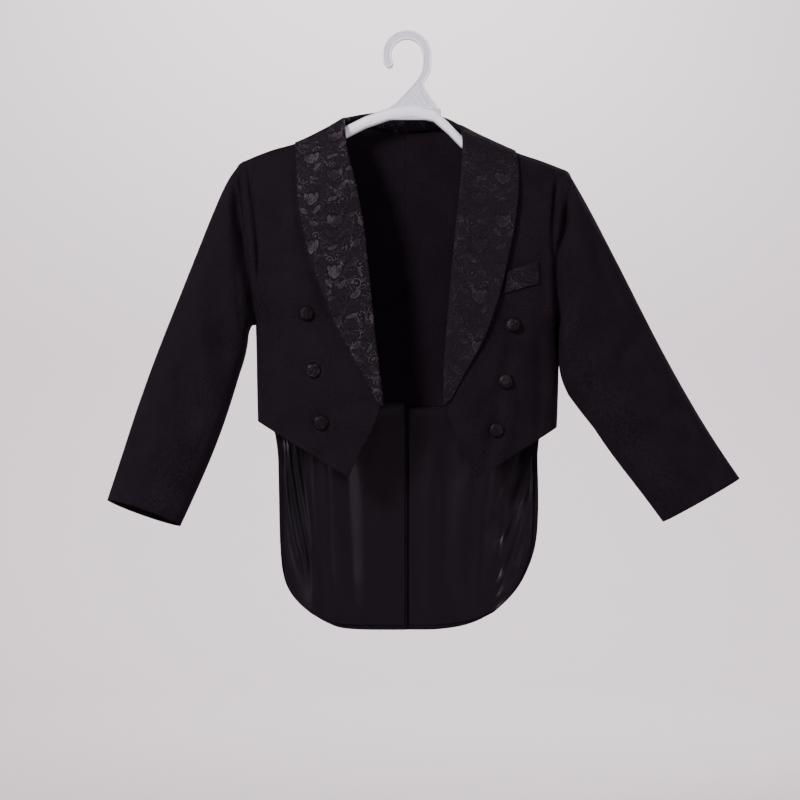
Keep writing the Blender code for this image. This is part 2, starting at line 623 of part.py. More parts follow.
def height_on(points, x, z):
    """y of a front's facets at a place, from the grid of the front's outer points."""
    here = np.array([x, z])
    for row in range(points.shape[0] - 1):
        for column in range(points.shape[1] - 1):
            cell = [points[row, column], points[row, column + 1],
                    points[row + 1, column + 1], points[row + 1, column]]
            for corners in ((0, 1, 2), (0, 2, 3)):
                a, b, c = (cell[i] for i in corners)
                frame = np.array([[b[0] - a[0], c[0] - a[0]], [b[2] - a[2], c[2] - a[2]]])
                if abs(np.linalg.det(frame)) < 1e-6:
                    continue
                s, t = np.linalg.solve(frame, here - (a[0], a[2]))
                if s >= -1e-6 and t >= -1e-6 and s + t <= 1 + 1e-6:
                    return a[1] + s * (b[1] - a[1]) + t * (c[1] - a[1])
    raise ValueError("no cloth at (%.1f, %.1f)" % (x, z))


def breast_welt(half, front_points):
    """The welt of the breast pocket, beside the lapel on the wearer's left."""
    columns = 6
    rows = 3
    near, far = (np.array(end) for end in WELT_ENDS)
    skin = np.zeros((rows + 1, columns + 1, 3))
    for column in range(columns + 1):
        both = near + (far - near) * column / columns
        for row in range(rows + 1):
            x, z = both[:2] + (both[2:] - both[:2]) * row / rows
            skin[row, column] = (half.sign * x, height_on(front_points, half.sign * x, z), z)
    normals = facing(skin, (0, -1, 0))
    skin = skin + normals * (SEAM_GAP + WELT_EASE)
    cloth("breast_welt", skin, normals * WELT_WALL, BLACK_JACQUARD)


def button(half, number, x, z, front_points):
    """A covered button: a turned dome with a rolled rim, standing on the front."""
    x = half.sign * x
    reach = BUTTON_RADIUS
    around = [(x, z)]
    for step in range(12):
        turn = math.tau * step / 12
        around.append((x + reach * math.cos(turn), z + reach * math.sin(turn)))
    cloth_under = np.array([(px, height_on(front_points, px, pz), pz) for px, pz in around])
    slope, _, _, _ = np.linalg.lstsq(
        np.column_stack([cloth_under[:, 0] - x, cloth_under[:, 2] - z,
                         np.ones(len(around))]), cloth_under[:, 1], rcond=None)
    normal = np.array([slope[0], -1.0, slope[1]])
    normal /= np.linalg.norm(normal)
    base = np.array([x, slope[2], z])
    base += normal * (np.max((cloth_under - base) @ normal) + SEAM_GAP)
    dome = bmesh.new()
    ring = [dome.verts.new((r * BUTTON_RADIUS, 0, h * BUTTON_HEIGHT))
            for r, h in BUTTON_PROFILE]
    ring.append(dome.verts.new((0, 0, 0)))
    wire = [dome.edges.new(pair) for pair in zip(ring, ring[1:])]
    bmesh.ops.spin(dome, geom=ring + wire, cent=(0, 0, 0), axis=(0, 0, 1),
                   angle=math.tau, steps=14, use_merge=False)
    bmesh.ops.remove_doubles(dome, verts=dome.verts, dist=0.01)
    bmesh.ops.recalc_face_normals(dome, faces=dome.faces)
    side = np.cross((0, 0, 1.0), normal)
    side /= np.linalg.norm(side)
    turned = np.stack([side, np.cross(normal, side), normal], axis=1)
    for vert in dome.verts:
        vert.co = (turned @ np.array(vert.co) + base) * MM
    mesh = bpy.data.meshes.new("button_%s_%d" % (half.name, number))
    dome.to_mesh(mesh)
    dome.free()
    add_object(mesh.name, mesh, BLACK_JACQUARD, 70)


# ---------------------------------------------------------------- sleeves

SLEEVE_STEPS = 2 * ARMHOLE_ROWS
SLEEVE_ROWS = (0, 1, 1.5, 2, 2.5, 3, 3.5, 4, 4.6, 5.2, 6, 6.7, 7.4, 8.2, 9)
TOP_SLEEVE = (-5, 8)           # steps round the sleeve, from the back seam to the front seam
SLEEVE_FOLDS = {
    # columns: row and step of one end, row and step of the other, half width, height out
    "right": ((0.9, 3.2, 3.6, 7.6, 13, -3.6), (2.2, 2.2, 5.0, 4.4, 13, 2.0),
              (4.6, 8.0, 6.4, 4.6, 12, -2.4), (1.0, -3.0, 3.4, -7.0, 14, -3.2),
              (4.4, -8.4, 6.2, -4.6, 12, -2.4)),
    "left": ((0.9, 2.6, 3.4, 6.4, 13, -3.2), (1.2, 1.2, 2.8, 4.6, 12, 2.2),
             (4.8, 8.2, 6.6, 5.0, 12, -2.0), (1.0, -2.8, 3.2, -6.6, 14, -3.0),
             (4.6, -8.2, 6.4, -5.0, 12, -2.2)),
}


def round_normals(points):
    """Normals of a tube of points whose last column lies on its first."""
    closed = np.concatenate([points[:, -2:-1], points, points[:, 1:2]], axis=1)
    normals = grid_normals(closed)[:, 1:-1]
    outwards = np.sum(normals * (points - points.mean(axis=1, keepdims=True)))
    return normals if outwards > 0 else -normals


def sleeve_grid(half):
    """Outer points of a sleeve: rows from the armhole to the cuff, columns all round."""
    steps = np.arange(SLEEVE_STEPS + 1)
    turn = steps / ARMHOLE_ROWS * math.pi
    ring = armhole_ring(half, np.minimum(steps, SLEEVE_STEPS - steps))
    in_front = steps <= ARMHOLE_ROWS
    reach = 4.5 + 1.5 * np.cos(turn)

    def on_coat(x, drop):
        z = half.ridge(x) - drop
        face = [outer(half, x, z, name) for name in ("front", "back")]
        return np.where(in_front[:, None], face[0], face[1])

    drop = half.ridge(ring[:, 0]) - ring[:, 1]
    seam = on_coat(ring[:, 0], drop)
    beyond = on_coat(ring[:, 0] + reach, drop)
    # under the arm the sleeve leaves the coat sideways and keeps its depth
    follow = np.clip(1.2 + np.cos(turn), 0, 1)
    beyond[:, 1] = seam[:, 1] + (beyond[:, 1] - seam[:, 1]) * follow
    start = seam + (beyond - seam) / np.linalg.norm(beyond - seam, axis=1, keepdims=True) * 0.35
    rings = [start, beyond]
    for out_x, out_z, in_x, in_z, front_depth, back_depth, middle_y, slant in half.sleeve:
        outside = np.array([half.sign * out_x, out_z])
        inside = np.array([half.sign * in_x, in_z])
        middle = (outside + inside) / 2
        flat = middle + np.cos(turn)[:, None] * (outside - inside) / 2
        across = (outside - inside) / np.linalg.norm(outside - inside)
        down = np.array([across[1], -across[0]]) * half.sign
        down = down if down[1] < 0 else -down
        round_part = np.sign(np.sin(turn)) * np.abs(np.sin(turn)) ** 0.85
        depth = np.where(round_part > 0, front_depth, back_depth)
        flat = flat - down * slant * np.sin(turn)[:, None]
        y = middle_y - round_part * depth
        rings.append(np.stack([flat[:, 0], y, flat[:, 1]], axis=1))
    rings = np.stack(rings)
    keys = np.arange(len(rings))
    rows = np.array(SLEEVE_ROWS)
    points = np.stack([np.stack([through(keys, rings[:, j, i], rows)
                                 for i in range(3)], axis=1)
                       for j in range(len(steps))], axis=1)
    points[:, -1] = points[:, 0]
    normals = round_normals(points)
    signed = np.where(steps > ARMHOLE_ROWS, steps - SLEEVE_STEPS, steps)
    girth = 11.0
    length = 45.0
    height = np.zeros(points.shape[:2])
    for row_a, step_a, row_b, step_b, width, out in SLEEVE_FOLDS[half.name]:
        height += fold_height(((step_a * girth, row_a * length, step_b * girth,
                                row_b * length, width, out),),
                              signed[None, :] * girth, rows[:, None] * length)
    height *= soft_step(rows, 0.4, 1.8)[:, None]
    points = points + normals * height[..., None]
    return points, round_normals(points)


def sleeve(half, front_normals, back_normals):
    """A two-piece sleeve, set in the armhole and open at the cuff."""
    points, normals = sleeve_grid(half)
    # the wall at the armhole ends as the coat's own wall does
    for step in range(SLEEVE_STEPS):
        if step < ARMHOLE_ROWS:
            normals[0, step] = front_normals[step, -1]
        elif step > ARMHOLE_ROWS:
            normals[0, step] = back_normals[SLEEVE_STEPS - step, -1]
    first, last = TOP_SLEEVE
    pieces = (("top", np.arange(first, last + 1) % SLEEVE_STEPS),
              ("under", np.arange(last, SLEEVE_STEPS + first + 1) % SLEEVE_STEPS))
    for name, steps in pieces:
        skin = points[:, steps].copy()
        drawn_in(skin, "first", SLEEVE_SEAM_GAP / 2)
        drawn_in(skin, "last", SLEEVE_SEAM_GAP / 2)
        cloth("sleeve_%s_%s" % (half.name, name), skin, -normals[:, steps] * SLEEVE_WALL,
              BLACK_SUITING)


# ---------------------------------------------------------------- hanger

def outline_plate(name, outline, thickness, bevel):
    """A flat plate standing in the hanger's plane, cut to an outline of (x, z)."""
    flat = bpy.data.curves.new(name, "CURVE")
    flat.dimensions = "2D"
    flat.fill_mode = "BOTH"
    flat.extrude = (thickness / 2 - bevel) * MM
    flat.bevel_depth = bevel * MM
    flat.bevel_resolution = 1
    flat.offset = -bevel * MM
    spline = flat.splines.new("POLY")
    spline.points.add(len(outline) - 1)
    for point, (x, z) in zip(spline.points, outline):
        point.co = (x * MM, z * MM, 0, 1)
    spline.use_cyclic_u = True
    holder = bpy.data.objects.new(name, flat)
    bpy.data.collections["cutters"].objects.link(holder)
    holder.rotation_euler = (math.pi / 2, 0, 0)
    bpy.context.view_layer.update()
    mesh = bpy.data.meshes.new_from_object(
        holder.evaluated_get(bpy.context.evaluated_depsgraph_get()))
    mesh.transform(holder.matrix_world)
    bpy.data.objects.remove(holder)
    weld = bmesh.new()
    weld.from_mesh(mesh)
    bmesh.ops.remove_doubles(weld, verts=weld.verts, dist=0.00003)
    bmesh.ops.recalc_face_normals(weld, faces=weld.faces)
    weld.to_mesh(mesh)
    weld.free()
    return mesh


def hook_outline():
    """The hook, its neck and the web that widens into the arms, as one closed outline."""
    inner = HOOK_RADIUS - HOOK_BAND / 2
    outside = HOOK_RADIUS + HOOK_BAND / 2
    centre_z = -inner
    start, end = 0.0, 208.0
    arc = 20
    points = []
    for i in range(arc + 1):
        turn = math.radians(start + (end - start) * i / arc)
        points.append((outside * math.cos(turn), centre_z + outside * math.sin(turn)))
    tip = math.radians(end)
    tip_x = HOOK_RADIUS * math.cos(tip)
    tip_z = centre_z + HOOK_RADIUS * math.sin(tip)
    for i in range(1, 5):
        turn = tip + math.pi * i / 5
        points.append((tip_x + HOOK_BAND / 2 * math.cos(turn),
                       tip_z + HOOK_BAND / 2 * math.sin(turn)))
    for i in range(arc + 1):
        turn = math.radians(end + (start - end) * i / arc)
        points.append((inner * math.cos(turn), centre_z + inner * math.sin(turn)))
    # down the neck on its left, across the foot of the web, and up its right side
    points += [(17.2, -27), (16.6, -35), (12.0, -44), (4.5, -53), (-2.2, -60), (-12.3, -70.5),
               (-24, -79.5), (-24, -90), (38, -90), (38, -80), (33.5, -74.5), (24.6, -61.5),
               (19.4, -53), (18.6, -48), (22.4, -42.5), (26.6, -35), (27.1, -27)]
    return points


def arm_bar():
    """The hanger's arched arms: one bar, narrow at the neck and broad under the shoulders."""
    # columns: x, how far its top lies under the shoulder line, half width, height
    stations = ((-163, 6.0, 3.6, 6.0), (-158, 3.2, 4.8, 10.5), (-140, 3.0, 5.2, 13.0),
                (-118, 2.9, 5.4, 14.5), (-96, 2.9, 5.6, 15.0), (-82, 5.8, 5.6, 15.0),
                (-68, 8.8, 5.4, 14.5), (-46, None, 5.2, 14.0), (-20, None, 5.0, 14.0),
                (5, None, 5.0, 14.0), (30, None, 5.0, 14.0), (46, None, 5.2, 14.0),
                (60, 9.0, 5.4, 14.5), (74, 6.0, 5.6, 15.0), (90, 2.9, 5.6, 15.0),
                (112, 2.9, 5.4, 14.5), (134, 3.0, 5.2, 13.0), (152, 3.2, 4.8, 10.5),
                (157, 6.0, 3.6, 6.0))
    known = [(x, (LEFT if x > 0 else RIGHT).ridge(x) - under - ARM_CLEARANCE)
             for x, under, _, _ in stations if under is not None]
    known += [(-24, -77.6), (5, -73.0), (32, -79.2)]
    known.sort()
    sides = 12
    bar = bmesh.new()
    rings = []
    for x, _, half_width, height in stations:
        top = float(through(*zip(*known), x))
        ring = []
        for i in range(sides):
            turn = math.tau * i / sides
            ring.append(bar.verts.new((x * MM, (half_width * math.sin(turn) - 0.4) * MM,
                                       (top - height / 2 * (1 - math.cos(turn))) * MM)))
        rings.append(ring)
    for near, far in zip(rings, rings[1:]):
        for i in range(sides):
            j = (i + 1) % sides
            bar.faces.new((near[i], near[j], far[j], far[i]))
    bar.faces.new(rings[0])
    bar.faces.new(rings[-1])
    bmesh.ops.recalc_face_normals(bar, faces=bar.faces)
    mesh = bpy.data.meshes.new("arm_bar")
    bar.to_mesh(mesh)
    bar.free()
    return mesh


def hanger():
    """The moulded hanger: arms, web and hook in one piece."""
    part = add_object("hanger", arm_bar(), WHITE_PLASTIC, 40)
    plate = bpy.data.objects.new("hook_plate", outline_plate(
        "hook_plate", hook_outline(), HOOK_THICKNESS, 1.2))
    bpy.data.collections["cutters"].objects.link(plate)
    plate.hide_render = True
    plate.display_type = "WIRE"
    join = part.modifiers.new("Hook", "BOOLEAN")
    join.operation = "UNION"
    join.solver = "EXACT"
    join.object = plate
    return part


# ---------------------------------------------------------------- the whole coat

def clear_scene():
    for item in list(bpy.data.objects):
        bpy.data.objects.remove(item, do_unlink=True)
    for name in (COLLECTION, "cutters"):
        group = bpy.data.collections.new(name)
        bpy.context.scene.collection.children.link(group)


def main():
    clear_scene()
    for half in (RIGHT, LEFT):
        front_points, front_normals = front(half)
        back_points, back_normals = back(half)
        tail_lining(half, back_points, back_normals)
        sleeve(half, front_normals, back_normals)
        collar(half, front_points, front_normals)
        for number, (x, z) in enumerate(half.buttons, start=1):
            button(half, number, x, z, front_points)
        if half is LEFT:
            breast_welt(half, front_points)
    hanger()


if __name__ == "__main__":
    main()
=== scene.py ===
"""Dresses a child's white tie tailcoat: folds, weave, satin, jacquard, buttons and its hanger.

It is laid out as an add-on and run as a script. Lengths in tables are millimetres from the top of
the inside of the hanger's hook: x to the wearer's left, y to the back, z up.
"""
import math

import bmesh
import bpy
import numpy as np
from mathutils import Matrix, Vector, noise


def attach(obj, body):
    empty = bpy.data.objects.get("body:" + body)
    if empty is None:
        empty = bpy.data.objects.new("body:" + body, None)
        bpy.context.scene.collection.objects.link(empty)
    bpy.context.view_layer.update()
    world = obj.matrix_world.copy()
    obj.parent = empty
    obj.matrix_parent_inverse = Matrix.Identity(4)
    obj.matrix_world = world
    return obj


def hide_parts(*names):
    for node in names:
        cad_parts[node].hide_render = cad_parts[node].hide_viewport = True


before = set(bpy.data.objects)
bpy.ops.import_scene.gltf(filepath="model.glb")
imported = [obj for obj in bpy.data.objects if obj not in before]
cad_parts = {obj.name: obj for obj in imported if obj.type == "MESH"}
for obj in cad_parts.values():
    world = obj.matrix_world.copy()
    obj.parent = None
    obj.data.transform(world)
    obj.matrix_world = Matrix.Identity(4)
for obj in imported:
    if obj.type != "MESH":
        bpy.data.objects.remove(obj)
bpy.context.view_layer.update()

bl_info = {
    "name": "White tie tailcoat",
    "version": (1, 0, 0),
    "blender": (4, 5, 0),
    "location": "3D Viewport > Sidebar > Tailcoat",
    "description": "Dresses a tailcoat's solids with cloth, jacquard facings and a hanger",
    "category": "Object",
}

MM = 0.001
BODY = "root"
SIDES = ("right", "left")

# ---- folds of the cloth
# A fold is a soft ridge (height above 0) or trough (below 0) along a line. Its two slopes have
# their own widths, so that a fold can hang over on one side.
# columns: width on the right (-x), width on the left (+x), height, then the line's x and z
FRONT_FOLDS = (
    # beside the armhole on the wearer's right
    (6.6, 2.6, -10, (-190, -156), (-188, -194), (-184, -216), (-180, -238), (-175.5, -260),
     (-172, -282), (-168, -324)),
    (2.8, 2, -6.5, (-187, -150), (-182, -192), (-179, -236)),
    (2.2, 2.6, -3.4, (-177, -144), (-172, -178), (-167, -207), (-164.5, -240), (-166, -272)),
    (8, 8, -1.5, (-160, -214), (-157, -252), (-158, -292)),
    (3.5, 3, 1.6, (-176, -196), (-170, -236), (-166, -280)),
    # beside the armhole on the wearer's left
    (3.2, 3.4, -5, (166, -154), (163, -194), (161, -222), (162, -250)),
    (4.2, 4.6, -8.6, (181, -166), (174, -216), (165, -248), (166, -282), (169, -314),
     (171, -352)),
    (2.4, 3, 3, (171, -160), (168, -196), (167, -222)),
    (5, 5, -1.4, (151, -222), (150, -262), (154, -312)),
    # the front dips along the lapel's edge
    (5, 3, -2.2, (-125, -140), (-121, -188), (-114, -232), (-101, -268), (-89, -302),
     (-68, -348)),
    # sleeve on the wearer's right: slack along the inside, a dent above the forearm
    (15, 12, -4.2, (-206, -236), (-204, -300), (-206, -372)),
    (12, 10, 3.1, (-238, -262), (-226, -330), (-212, -386)),
    (12, 12, -4.8, (-258, -362), (-246, -398), (-232, -434)),
    (11, 9, 3.4, (-302, -404), (-282, -444), (-256, -484)),
    (10, 12, -2.5, (-262, -450), (-276, -484), (-284, -524)),
    (12, 12, 2, (-212, -196), (-232, -236), (-250, -290)),
    # sleeve on the wearer's left: a break at the elbow and a lit ridge down its outside
    (8, 9, -3.6, (208, -226), (218, -262), (238, -296)),
    (8, 7, -4.8, (264, -318), (250, -342), (228, -362)),
    (7, 8, 3.1, (278, -326), (262, -356), (238, -390)),
    (11, 8, 2.5, (262, -336), (304, -398), (340, -466)),
    (12, 14, -3.4, (204, -296), (204, -344), (214, -396)),
    (9, 9, -3.1, (304, -400), (280, -428), (248, -446)),
    (14, 12, -2.8, (244, -392), (270, -446), (302, -502)),
    # chest and skirt of the fronts
    (4, 4.4, -2, (-153, -292), (-152, -360), (-153, -426)),
    (14, 12, -2.2, (-136, -176), (-138, -216), (-134, -262)),
    (14, 12, 1.8, (-92, -330), (-84, -396), (-70, -452)),
    (7, 6, -3.2, (112, -340), (111, -362), (104, -384)),
    (7, 6, -3.6, (104, -380), (97, -424), (87, -478)),
    (6, 6, -2.6, (92, -392), (84, -412), (76, -432)),
    (8, 7, 2.2, (118, -388), (114, -430), (102, -472)),
    (7, 6, -2.6, (147, -330), (149, -384), (146, -440)),
    (8, 8, 1.6, (134, -270), (136, -320), (132, -372)),
)
BACK_FOLDS = (
    (7, 3.4, -5.5, (-190, -164), (-182, -230), (-170, -308)),
    (3.4, 7, -5.5, (184, -172), (172, -240), (166, -312)),
    (14, 10, -3.4, (-152, -190), (-144, -256), (-124, -332)),
    (10, 14, -3.6, (148, -196), (142, -262), (122, -336)),
    (12, 12, 2.2, (-134, -252), (-116, -320), (-92, -392)),
    (13, 13, 2, (130, -262), (110, -330), (88, -398)),
    (18, 14, -2, (-60, -150), (-58, -190), (-48, -232)),
    (14, 18, -2, (58, -156), (58, -196), (50, -240)),
    (6, 8, -1.8, (-96, -402), (-50, -414), (0, -410)),
    (6, 8, -1.8, (4, -412), (54, -410), (98, -400)),
    (10, 8, -3.2, (-256, -300), (-226, -338), (-200, -366)),
    (10, 8, 2.4, (-282, -358), (-256, -390), (-230, -410)),
    (9, 9, -2, (-294, -424), (-276, -452), (-254, -470)),
    (8, 10, -3.2, (270, -316), (232, -348), (198, -374)),
    (8, 10, 2.4, (294, -362), (258, -396), (224, -418)),
    (9, 9, -2, (312, -420), (288, -446), (260, -460)),
    (10, 8, 2.4, (-118, -470), (-110, -546), (-106, -622)),
    (8, 11, -2.4, (-68, -460), (-60, -550), (-60, -640)),
    (8, 10, 2.4, (120, -470), (110, -544), (106, -616)),
    (11, 8, -2.4, (70, -466), (62, -552), (62, -640)),
)
# the satin is slack on the tails
SATIN_FOLDS = (
    # the wearer's right: long upright flutes
    (2.6, 2, 4.4, (-134, -430), (-132.5, -461), (-128, -498), (-121.5, -534), (-114, -571),
     (-109, -612)),
    (2.4, 2, 3.8, (-137, -440), (-136, -470), (-134, -516), (-127, -560), (-114, -606)),
    (2.2, 2.4, 2.6, (-139.5, -460), (-138, -500), (-134, -566), (-124, -606)),
    (2.4, 2.4, 3.4, (-126, -430), (-124, -470), (-116, -520), (-108, -580)),
    (4.4, 3.4, 2.2, (-112, -430), (-108, -520), (-98, -628)),
    (6, 5, 1.8, (-92, -440), (-90, -540), (-84, -634)),
    (7, 6, 0.7, (-66, -430), (-66, -530), (-58, -640)),
    (8, 7, 0.6, (-38, -450), (-34, -540), (-34, -640)),
    # the wearer's left: slanting waves from the side seam
    (4.4, 3.4, 2.1, (144, -448), (134, -480), (124, -514), (116, -552), (100, -600)),
    (3.6, 3.6, 2, (142, -486), (136, -520), (126, -556), (112, -592), (96, -620)),
    (3, 2.6, 2, (140, -430), (139, -476), (138, -520), (133, -566), (120, -606)),
    (3.4, 3, -1.8, (136, -500), (124, -522), (112, -548), (100, -566)),
    (4, 3.6, 1.8, (128, -430), (120, -470), (108, -512), (92, -548)),
    (3.4, 3, 1.2, (128, -584), (114, -608), (98, -632)),
    (6, 5, 0.9, (96, -440), (90, -500), (84, -570), (78, -634)),
    (9, 7, 1.6, (60, -436), (56, -540), (52, -640)),
    (9, 7, 1.4, (30, -446), (28, -540), (26, -640)),
)
CORNER_CUT = 0.25           # share of each stretch cut off at a corner of a fold's line
FOLD_NARROW, FOLD_SWELL = 0.7, 0.45     # a fold's width at its ends, and what its middle adds
FOLD_PAST, FOLD_FADE = 0.06, 0.22       # shares of its length over which a fold's end dies away
FADE_DEPTH = 9.0            # folds die away over this depth towards a side edge
UNEVEN_HEIGHT = 0.45        # slow unevenness of pressed cloth
UNEVEN_SIZE = 42.0
UNEVEN_SEED = 3.7
SLEEVE_MIDDLE = {-1: 0.034, 1: 0.012}   # how far forward a sleeve's middle comes, by drop
SLEEVE_BEND = -250.0        # below this a sleeve's middle comes forward
SLEEVE_START = 176.0        # further out than this, a point belongs to a sleeve
# columns: drop below the hook, x of the left sleeve's inner edge, how far it moves to the side
SLEEVE_CLOSER = ((306, 167, 0.0), (326, 168, 5.0), (368, 170, 6.6), (397, 184, 7.0),
                 (418, 195, 3.0), (434, 204, 0.0))
SLEEVE_CLOSER_WIDTH = 34.0

# the lapel's edge stands off the front, most of all at the chest
LAPEL_LIFT = {-1: 1.8, 1: 4.2}
LAPEL_TOP, LAPEL_FULL, LAPEL_WAIST = -118.0, -190.0, -396.0
LAPEL_FADE = 70.0           # it comes to rest over this length above the waist
LAPEL_LEVELS = 28           # heights at which a lapel's two edges are found
LAPEL_HIGHEST = -100.0
LAPEL_FACE = -4.0           # in front of this, a point is on the lapel
LAPEL_REACH = 9.0           # how near a height its points are
LAPEL_INNER, LAPEL_OUTER = 60.0, 120.0      # the edges where no point is near

# ---- pieces of cloth
RIGHT_BODY, LEFT_BODY = ("front_right", "back_right"), ("front_left", "back_left")
# columns: node, look, width, length and area as cut (metres), what it hangs on
CLOTH_PIECES = {
    "Fronts": (
        ("front_right", "suiting", 0.190, 0.410, 0.0458, ("hanger",)),
        ("front_left", "suiting", 0.185, 0.405, 0.0423, ("hanger",)),
    ),
    "Backs and tails": (
        ("back_right", "suiting", 0.215, 0.585, 0.0900, ("hanger",)),
        ("back_left", "suiting", 0.225, 0.580, 0.0918, ("hanger",)),
    ),
    "Tail linings": (
        ("tail_lining_right", "satin", 0.165, 0.262, 0.0350, ("back_right",)),
        ("tail_lining_left", "satin", 0.165, 0.256, 0.0337, ("back_left",)),
    ),
    "Sleeves": (
        ("sleeve_right_top", "suiting", 0.190, 0.430, 0.0587, RIGHT_BODY),
        ("sleeve_right_under", "suiting", 0.105, 0.330, 0.0217, RIGHT_BODY),
        ("sleeve_left_top", "suiting", 0.190, 0.430, 0.0598, LEFT_BODY),
        ("sleeve_left_under", "suiting", 0.105, 0.330, 0.0216, LEFT_BODY),
    ),
    "Shawl collar": (
        # painted light: the wearer's right collar takes the painted lit copy of the jacquard,
        # whose figure is painted lighter because the key light falls from that side; the left
        # collar takes the painted shaded copy
        ("collar_right", "jacquard bright", 0.110, 0.480, 0.0266, RIGHT_BODY),
        ("collar_left", "jacquard quiet", 0.110, 0.480, 0.0256, LEFT_BODY),
    ),
    "Breast welt": (
        # the welt takes the painted shaded copy of the jacquard, like the left collar
        ("breast_welt", "jacquard quiet", 0.038, 0.026, 0.00097, ("front_left",)),
    ),
}
CLOTH_LEVELS = 3            # how often a cloth is subdivided
EDGE_ROUND = 0.55           # a turned edge's radius
SEAM_CLOSING = 0.20         # how far a cut edge grows to meet its neighbour
CUT_EDGE_WIDTH = 2.8        # a wall's cut edge is narrower than this
EDGE_ANGLE = 52.0           # an edge that turns more is a cut or turned edge
SHARP_ANGLE = 62.0          # an edge that turns more is shaded sharp
WELT_LIFT = 0.25            # the welt stands this much further off the front
SATIN_START, SATIN_FULL = 428.0, 446.0      # drops between which the satin's flutes begin
MERGE = 0.02                # doubles nearer than this are merged
PAIR_ANGLE, PAIR_SKEW = 45.0, 70.0      # triangles that turn or skew less are paired

# ---- shared shape functions


def soft_step(value, low, high):
    """0 below low, 1 above high, and smooth between."""
    t = np.clip((np.asarray(value, float) - low) / (high - low), 0, 1)
    return t * t * (3 - 2 * t)


def rounded_line(corners):
    """A line with its corners cut off twice."""
    line = np.array(corners, float)
    for _ in range(2):
        near = line[:-1] * (1 - CORNER_CUT) + line[1:] * CORNER_CUT
        far = line[:-1] * CORNER_CUT + line[1:] * (1 - CORNER_CUT)
        inner = np.stack([near, far], axis=1).reshape(-1, 2)
        line = np.vstack([line[:1], inner[1:-1], line[-1:]])
    return line


def fold_height(folds, x, z):
    """Height of a table's ridges and troughs at places on the cloth."""
    height = np.zeros(np.shape(x))
    for right_width, left_width, out, *corners in folds:
        line = rounded_line(corners)
        runs = np.diff(line, axis=0)
        lengths = np.hypot(runs[:, 0], runs[:, 1])
        before = np.concatenate([[0.0], np.cumsum(lengths)])
        whole = before[-1]
        nearest = np.full(np.shape(x), 1e9)
        side, down = np.zeros(np.shape(x)), np.zeros(np.shape(x))
        for number, (start, run, length) in enumerate(zip(line, runs, lengths)):
            share = ((x - start[0]) * run[0] + (z - start[1]) * run[1]) / length ** 2
            low = -1.0 if number == 0 else 0.0
            high = 2.0 if number == len(runs) - 1 else 1.0
            share = np.clip(share, low, high)
            dx, dz = x - start[0] - share * run[0], z - start[1] - share * run[1]
            away = np.hypot(dx, dz)
            closer = away < nearest
            nearest = np.where(closer, away, nearest)
            turn = np.sign(dx * run[1] - dz * run[0])
            side = np.where(closer, turn * away, side)
            down = np.where(closer, before[number] + share * length, down)
        along = np.clip(down / whole, 0, 1)
        spread = np.where(side > 0, right_width, left_width)
        spread = spread * (FOLD_NARROW + FOLD_SWELL * np.sin(math.pi * along))
        fade = soft_step(down, -FOLD_PAST * whole, FOLD_FADE * whole)
        fade = fade * (1 - soft_step(down, (1 - FOLD_FADE) * whole, (1 + FOLD_PAST) * whole))
        height += out * fade * np.exp(-(side / spread) ** 2)
    return height


def unevenness(points, size, seed):
    """Slow noise between -1 and 1 at points."""
    return np.array([noise.noise(Vector(point) / size + Vector((seed, 0.0, 0.0)))
                     for point in points])


def middle_depth(points):
    """y of the middle of the coat or sleeve at points."""
    x, z = points[:, 0], points[:, 2]
    lean = np.where(x < 0, SLEEVE_MIDDLE[-1], SLEEVE_MIDDLE[1])
    return -lean * np.clip(SLEEVE_BEND - z, 0, None) * (np.abs(x) > SLEEVE_START)


def shifted_by_folds(points, strength):
    """Points of cloth moved to the front or back by the folds that run there."""
    x, z = points[:, 0], points[:, 2]
    depth = points[:, 1] - middle_depth(points)
    front = soft_step(-depth, 0, FADE_DEPTH)
    rear = soft_step(depth, 0, FADE_DEPTH)
    uneven = UNEVEN_HEIGHT * unevenness(points, UNEVEN_SIZE, UNEVEN_SEED)
    moved = points.copy()
    moved[:, 1] -= strength * front * (fold_height(FRONT_FOLDS, x, z) + uneven)
    moved[:, 1] += strength * rear * (fold_height(BACK_FOLDS, x, z) + uneven)
    return moved


def laid_against_side(points):
    """The left sleeve's points, with its inner edge laid against the coat's side."""
    x, down = points[:, 0], -points[:, 2]
    drop, inner, shift = zip(*SLEEVE_CLOSER)
    near = 1 - soft_step(x - np.interp(down, drop, inner), 2, SLEEVE_CLOSER_WIDTH)
    moved = points.copy()
    moved[:, 0] -= near * np.interp(down, drop, shift)
    return moved


def lifted_lapel(points):
    """A lapel's points with its outer edge standing off the front."""
    x, y, z = np.abs(points[:, 0]), points[:, 1], points[:, 2]
    facing_front = y < LAPEL_FACE
    levels = np.linspace(z.min(), LAPEL_HIGHEST, LAPEL_LEVELS)
    inner, outer = [], []
    for level in levels:
        near = facing_front & (np.abs(z - level) < LAPEL_REACH)
        inner.append(x[near].min() if near.any() else LAPEL_INNER)
        outer.append(x[near].max() if near.any() else LAPEL_OUTER)
    low = np.interp(z, levels, inner)
    high = np.interp(z, levels, outer)
    share = np.clip((x - low) / np.maximum(high - low, 8.0), 0, 1)
    tall = soft_step(-z, -LAPEL_TOP, -LAPEL_FULL)
    tall = tall * (1 - soft_step(-z, -LAPEL_WAIST - LAPEL_FADE, -LAPEL_WAIST))
    moved = points.copy()
    lift = np.where(points[:, 0] < 0, LAPEL_LIFT[-1], LAPEL_LIFT[1])
    moved[:, 1] -= lift * tall * share ** 2 * soft_step(-y, 2, 8)
    return moved


# x and z of the top of a sleeve, its direction down the arm and its mean radius
SLEEVE_TOP = (180.0, -150.0)
SLEEVE_RUN, SLEEVE_FALL = 0.47, 0.88
SLEEVE_RADIUS = 58.0
# where the body's cloth turns round the side, and the line along the top of the shoulder
SIDE_BEND, SIDE_DEPTH = 130.0, 24.0
SHOULDER_TOP, SHOULDER_SLOPE = (70.0, -89.0), 0.5


